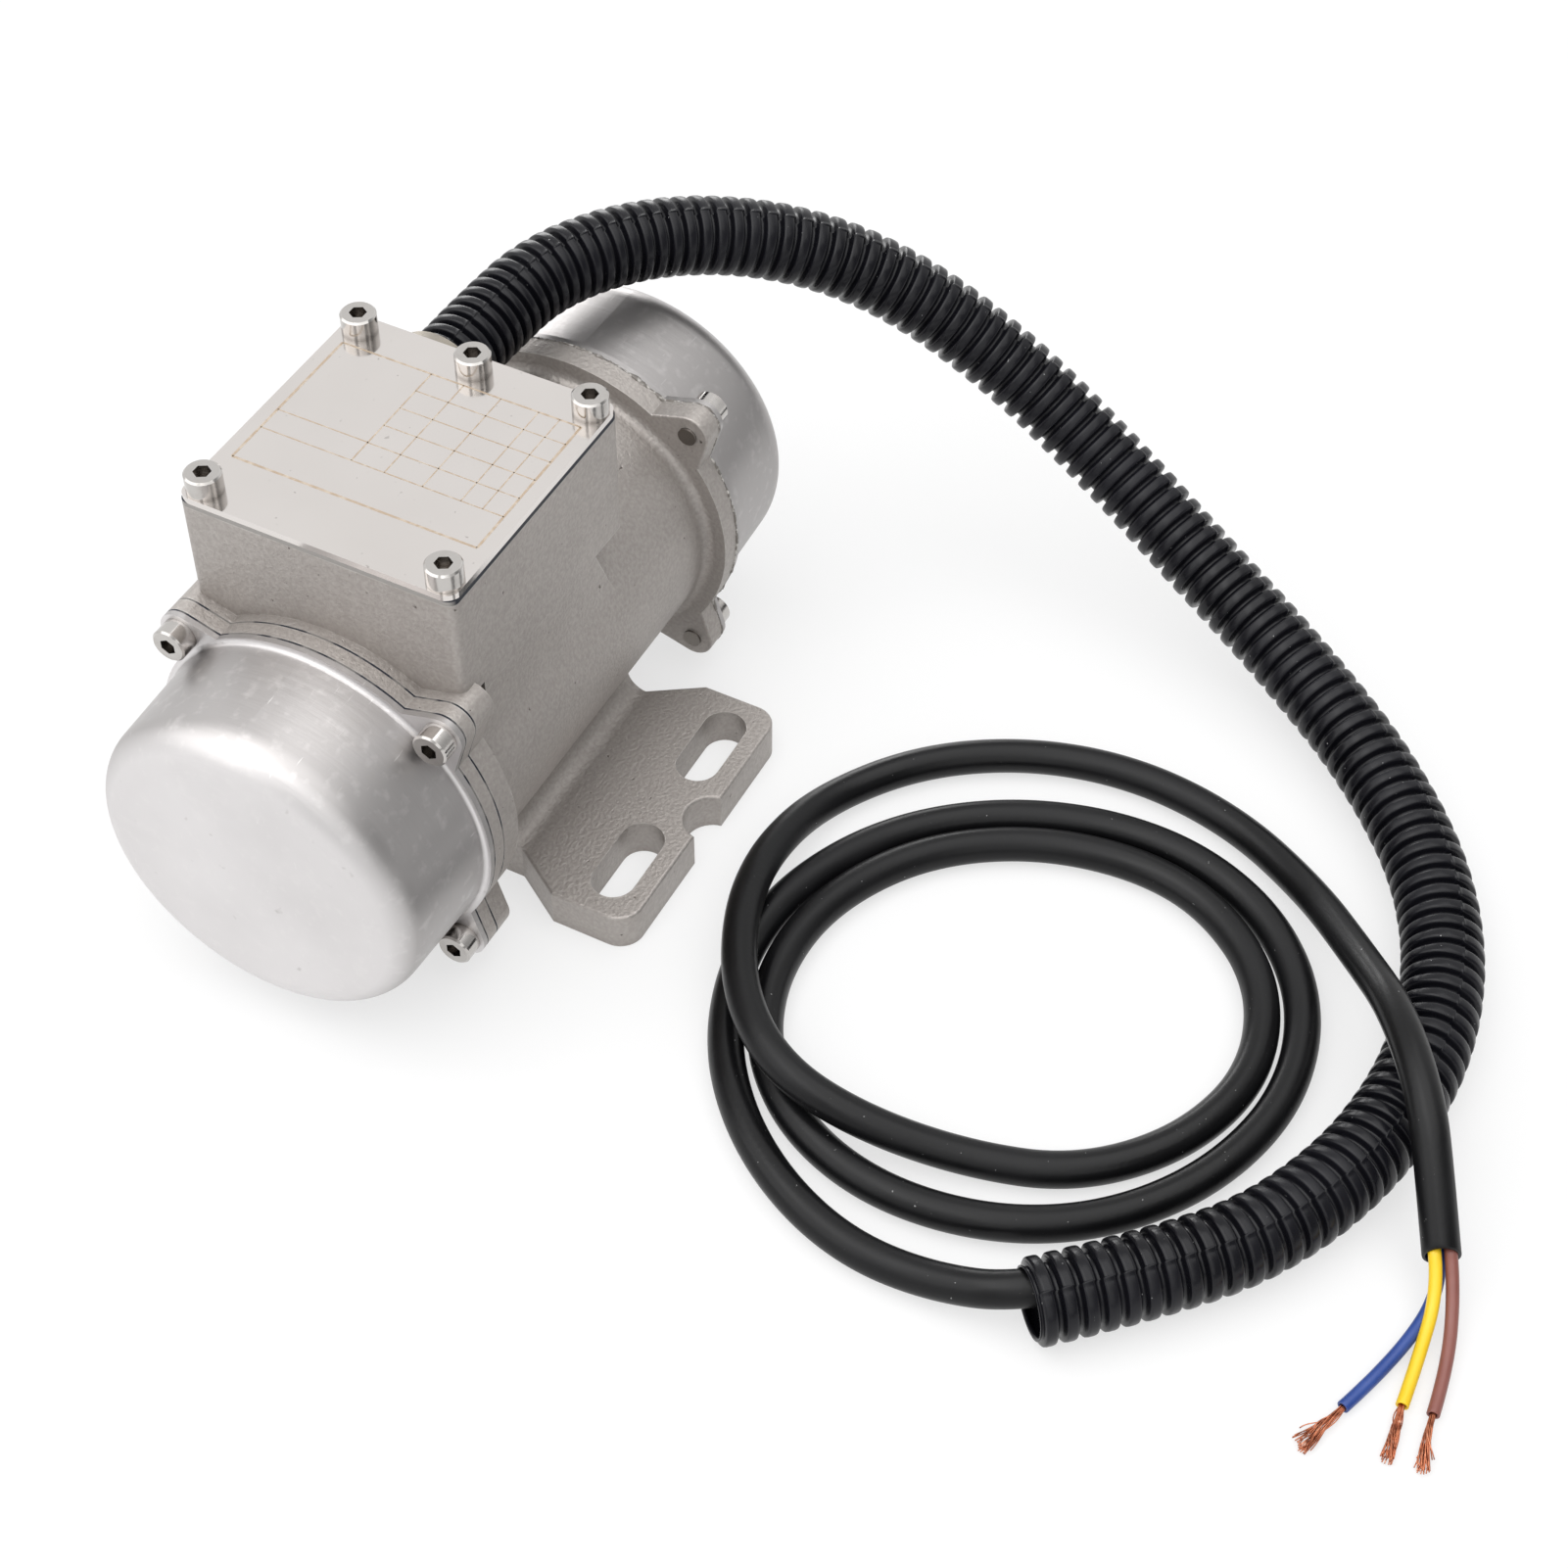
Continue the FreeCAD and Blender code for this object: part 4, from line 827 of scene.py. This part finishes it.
def drawn_stainless():
    """Pressed sheet with a satin finish: faint cloudiness, draw marks, scratches and spots, with painted
    shade that darkens the walls across X against the flat ends.
    """
    shader = Shader("drawn_stainless", (0.74, 0.72, 0.72), 0.92, 0.34)
    clouds = shader.noise(22, 4)
    draw = shader.noise(90, 3, (9, 1, 1))
    spots = shader.noise(300, 2)
    scratches = shader.noise(140, 2, (1, 14, 3))
    # Painted shade: the cover's walls, facing across X, are made darker than its flat ends.
    painted_shade_walls = across_x(shader)
    shader.tint(painted_shade_walls, (0.42, 0.403, 0.398))
    shader.tint(shader.ranged(clouds, 0, 0.3, 0.35, 0.7), (0.47, 0.455, 0.45))
    shader.tint(shader.ranged(shader.noise(420, 3), 0, 0.22, 0.55, 0.75), (0.8, 0.78, 0.77))
    shader.tint(shader.ranged(spots, 0, 0.5, 0.72, 0.80), (0.42, 0.40, 0.38))
    shader.tint(shader.ranged(scratches, 0, 0.5, 0.72, 0.77), (0.78, 0.77, 0.76))
    shader.rough(shader.ranged(clouds, 0.36, 0.5, 0.3, 0.7))
    shader.bump(draw, 0.04 * MM)
    shader.bump(shader.noise(1800, 2), 0.008 * MM)
    return shader


def polished_stainless():
    """Mirror-polished sheet: faint hazing, hairlines and a few fine specks."""
    shader = Shader("polished_stainless", (0.72, 0.685, 0.66), 1.0, 0.12)
    haze = shader.noise(35, 3)
    hair = shader.noise(160, 2, (1, 18, 1))
    specks = shader.noise(900, 1)
    shader.tint(shader.ranged(haze, 0, 0.6, 0.35, 0.7), (0.66, 0.625, 0.60))
    shader.tint(shader.ranged(specks, 0, 0.4, 0.76, 0.82), (0.25, 0.23, 0.21))
    shader.rough(shader.ranged(haze, 0.06, 0.14, 0.3, 0.7))
    shader.bump(hair, 0.001 * MM)
    return shader


def screw_steel(name="screw_steel", dull_ends=False):
    """Bright stainless screws: lathe marks, small stains, a polished chamfer with edges lightened partly
    as a painted highlight, and painted shade in the sockets and where the heads meet the parts below.
    """
    shader = Shader(name, (0.53, 0.51, 0.49), 1.0, 0.2)
    stains = shader.noise(260, 3)
    lathe = shader.noise(3200, 1)
    shader.tint(shader.ranged(stains, 0, 0.5, 0.5, 0.75), (0.4, 0.375, 0.35))
    # Worn edges and chamfer, lightened partly as a painted highlight.
    shader.tint(edge_wear_and_highlight(shader, 0.25 * MM), (0.76, 0.75, 0.73))
    # Painted shade: dark in the hex sockets and in the crease where a head meets the part below.
    shader.tint(recesses(shader, 2.4 * MM), (0.05, 0.034, 0.022))
    if dull_ends:
        shader.tint(toward_minus_x(shader), (0.17, 0.155, 0.14))
    shader.rough(shader.ranged(stains, 0.12, 0.24, 0.35, 0.7))
    shader.bump(lathe, 0.006 * MM)
    return shader


def black_plastic(name, colour, roughness, specks, grain_height):
    """Black plastic or rubber with a little grain, dull patches and dust."""
    shader = Shader(name, colour, 0.0, roughness)
    shader.bsdf.inputs["Specular IOR Level"].default_value = 0.25
    dull = shader.noise(45, 3)
    dust = shader.noise(1500, 1)
    shader.tint(shader.ranged(dull, 0, 0.6, 0.4, 0.75), tuple(2.1 * c for c in colour))
    shader.tint(shader.ranged(dust, 0, specks, 0.79, 0.82), (0.45, 0.45, 0.45))
    shader.rough(shader.ranged(dull, roughness - 0.06, roughness + 0.1, 0.35, 0.7))
    shader.bump(shader.noise(900, 3), grain_height)
    return shader


def gasket_rubber():
    """Dark rubber in the joints, with sealant and dust on parts of its edge."""
    shader = black_plastic("gasket_rubber", RUBBER_COLOUR, 0.5, 0.2, 0.02 * MM)
    smears = shader.noise(190, 3)
    shader.tint(shader.ranged(smears, 0, 0.9, 0.46, 0.58), (0.2, 0.19, 0.18))
    return shader


def lid_gasket_rubber():
    """The lid's gasket, with painted light making it paler on the sides across X."""
    shader = black_plastic("lid_gasket_rubber", RUBBER_COLOUR, 0.5, 0.2, 0.02 * MM)
    # Painted light: the sides across X, which face along X, are made paler, as where light falls on the
    # near side.
    painted_light_sides = shader.ranged(across_x(shader), 1.0, 0.0)
    shader.tint(painted_light_sides, (0.3, 0.285, 0.27))
    return shader


def insulation(name, colour, faded):
    """A core's coloured insulation, with paler patches."""
    shader = Shader(name, colour, 0.0, 0.36)
    shader.tint(shader.ranged(shader.noise(160, 3), 0, 0.5, 0.4, 0.7), faded)
    shader.rough(shader.ranged(shader.noise(260, 2), 0.3, 0.44, 0.35, 0.65))
    shader.bump(shader.noise(700, 2), 0.02 * MM)
    return shader


def copper():
    """Bare strands: copper with dark tarnish and bright spots."""
    shader = Shader("bare_copper", (0.58, 0.22, 0.12), 1.0, 0.32)
    shader.tint(shader.ranged(shader.noise(420, 3), 0, 0.9, 0.45, 0.65), (0.22, 0.065, 0.035))
    shader.tint(shader.ranged(shader.noise(700, 2), 0, 0.6, 0.6, 0.75), (0.93, 0.58, 0.42))
    shader.rough(shader.ranged(shader.noise(500, 2), 0.24, 0.48, 0.3, 0.7))
    return shader


def plain_metal(name, colour, roughness, stain):
    """A machined or stamped metal of the inner parts: fine marks and light staining."""
    shader = Shader(name, colour, 0.95, roughness)
    shader.tint(shader.ranged(shader.noise(120, 3), 0, 0.6, 0.45, 0.75), stain)
    shader.rough(shader.ranged(shader.noise(200, 2), roughness - 0.06, roughness + 0.12, 0.35, 0.7))
    shader.bump(shader.noise(1600, 2), 0.01 * MM)
    return shader


def moulded(name, colour, other, roughness=0.5):
    """A moulded or lacquered inner part."""
    shader = Shader(name, colour, 0.0, roughness)
    shader.tint(shader.ranged(shader.noise(150, 3), 0, 0.6, 0.4, 0.7), other)
    shader.rough(shader.ranged(shader.noise(220, 2), roughness - 0.08, roughness + 0.1, 0.35, 0.7))
    shader.bump(shader.noise(1200, 2), 0.015 * MM)
    return shader


def sealant_skin():
    """Cured grey joint compound, glossy and mottled with pale spots."""
    shader = Shader("joint_sealant", (0.16, 0.145, 0.13), 0.0, 0.28)
    shader.tint(shader.ranged(shader.noise(900, 2), 0, 1, 0.5, 0.66), (0.55, 0.53, 0.5))
    shader.rough(shader.ranged(shader.noise(600, 2), 0.2, 0.5, 0.35, 0.7))
    shader.bump(shader.noise(1400, 2), 0.05 * MM)
    return shader


def etching():
    """The dull brownish lines etched in the lid."""
    shader = Shader("lid_etching", (0.40, 0.31, 0.225), 0.2, 0.5)
    shader.tint(shader.ranged(shader.noise(700, 2), 0, 0.8, 0.45, 0.65), (0.52, 0.45, 0.37))
    shader.rough(shader.ranged(shader.noise(300, 2), 0.4, 0.6, 0.35, 0.7))
    return shader


def cad_materials():
    """One material for each of the record's slots."""
    return {
        "cast_stainless": cast_stainless(),
        "drawn_stainless": drawn_stainless(),
        "polished_stainless": polished_stainless(),
        "screw_steel": screw_steel(),
        "gasket_rubber": gasket_rubber(),
        "bearing_steel": plain_metal("bearing_steel", (0.62, 0.61, 0.60), 0.18, (0.5, 0.49, 0.47)),
        "shaft_steel": plain_metal("shaft_steel", (0.5, 0.49, 0.48), 0.3, (0.38, 0.36, 0.34)),
        "lamination_steel": plain_metal("lamination_steel", (0.3, 0.3, 0.31), 0.45, (0.2, 0.17, 0.15)),
        "cage_aluminium": plain_metal("cage_aluminium", (0.7, 0.7, 0.71), 0.4, (0.55, 0.55, 0.56)),
        "winding_enamel": moulded("winding_enamel", (0.36, 0.12, 0.04), (0.5, 0.2, 0.07), 0.35),
        "weight_steel": plain_metal("weight_steel", (0.32, 0.31, 0.3), 0.5, (0.24, 0.2, 0.17)),
        "conduit_plastic": black_plastic("conduit_plastic", (0.005, 0.005, 0.007), 0.27, 0.8, 0.02 * MM),
        "cable_pvc": black_plastic("cable_pvc", (0.004, 0.004, 0.0045), 0.34, 0.6, 0.03 * MM),
        "insulation_blue": insulation("insulation_blue", (0.018, 0.055, 0.25), (0.04, 0.09, 0.33)),
        "insulation_yellow": insulation("insulation_yellow", (0.85, 0.56, 0.012), (0.88, 0.62, 0.04)),
        "insulation_brown": insulation("insulation_brown", (0.215, 0.073, 0.058), (0.27, 0.105, 0.085)),
        "bare_copper": copper(),
        "block_plastic": moulded("block_plastic", (0.75, 0.73, 0.68), (0.65, 0.62, 0.56), 0.4),
        "capacitor_plastic": moulded("capacitor_plastic", (0.03, 0.03, 0.032), (0.05, 0.05, 0.05), 0.45),
        "fitting_brass": plain_metal("fitting_brass", (0.30, 0.275, 0.24), 0.38, (0.2, 0.17, 0.12)),
    }


def node_slots():
    """Each CAD node's material slot, from the record."""
    slots = {}
    for part in frame["record"]["subparts"]:
        slots[part["node"]] = part["material_slot"]
    return slots


# ---- The scene ----
camera()
surroundings()
materials = cad_materials()
materials["conduit_plastic"].on(conduit())
materials["cable_pvc"].on(cable())
for core_name in ("blue", "yellow", "brown"):
    insulated, bare = core(core_name)
    materials["insulation_" + core_name].on(insulated)
    materials["bare_copper"].on(bare)
sealant_skin().on(sealant())
etching().on(lid_ruling())
slots = node_slots()
for node_name, node in nodes.items():
    materials[slots[node_name]].on(node)
lid_gasket_rubber().on(nodes["lid_gasket"])
screw_steel("far_screw_steel", dull_ends=True).on(nodes["cover_screws_far"])

bpy.context.view_layer.update()
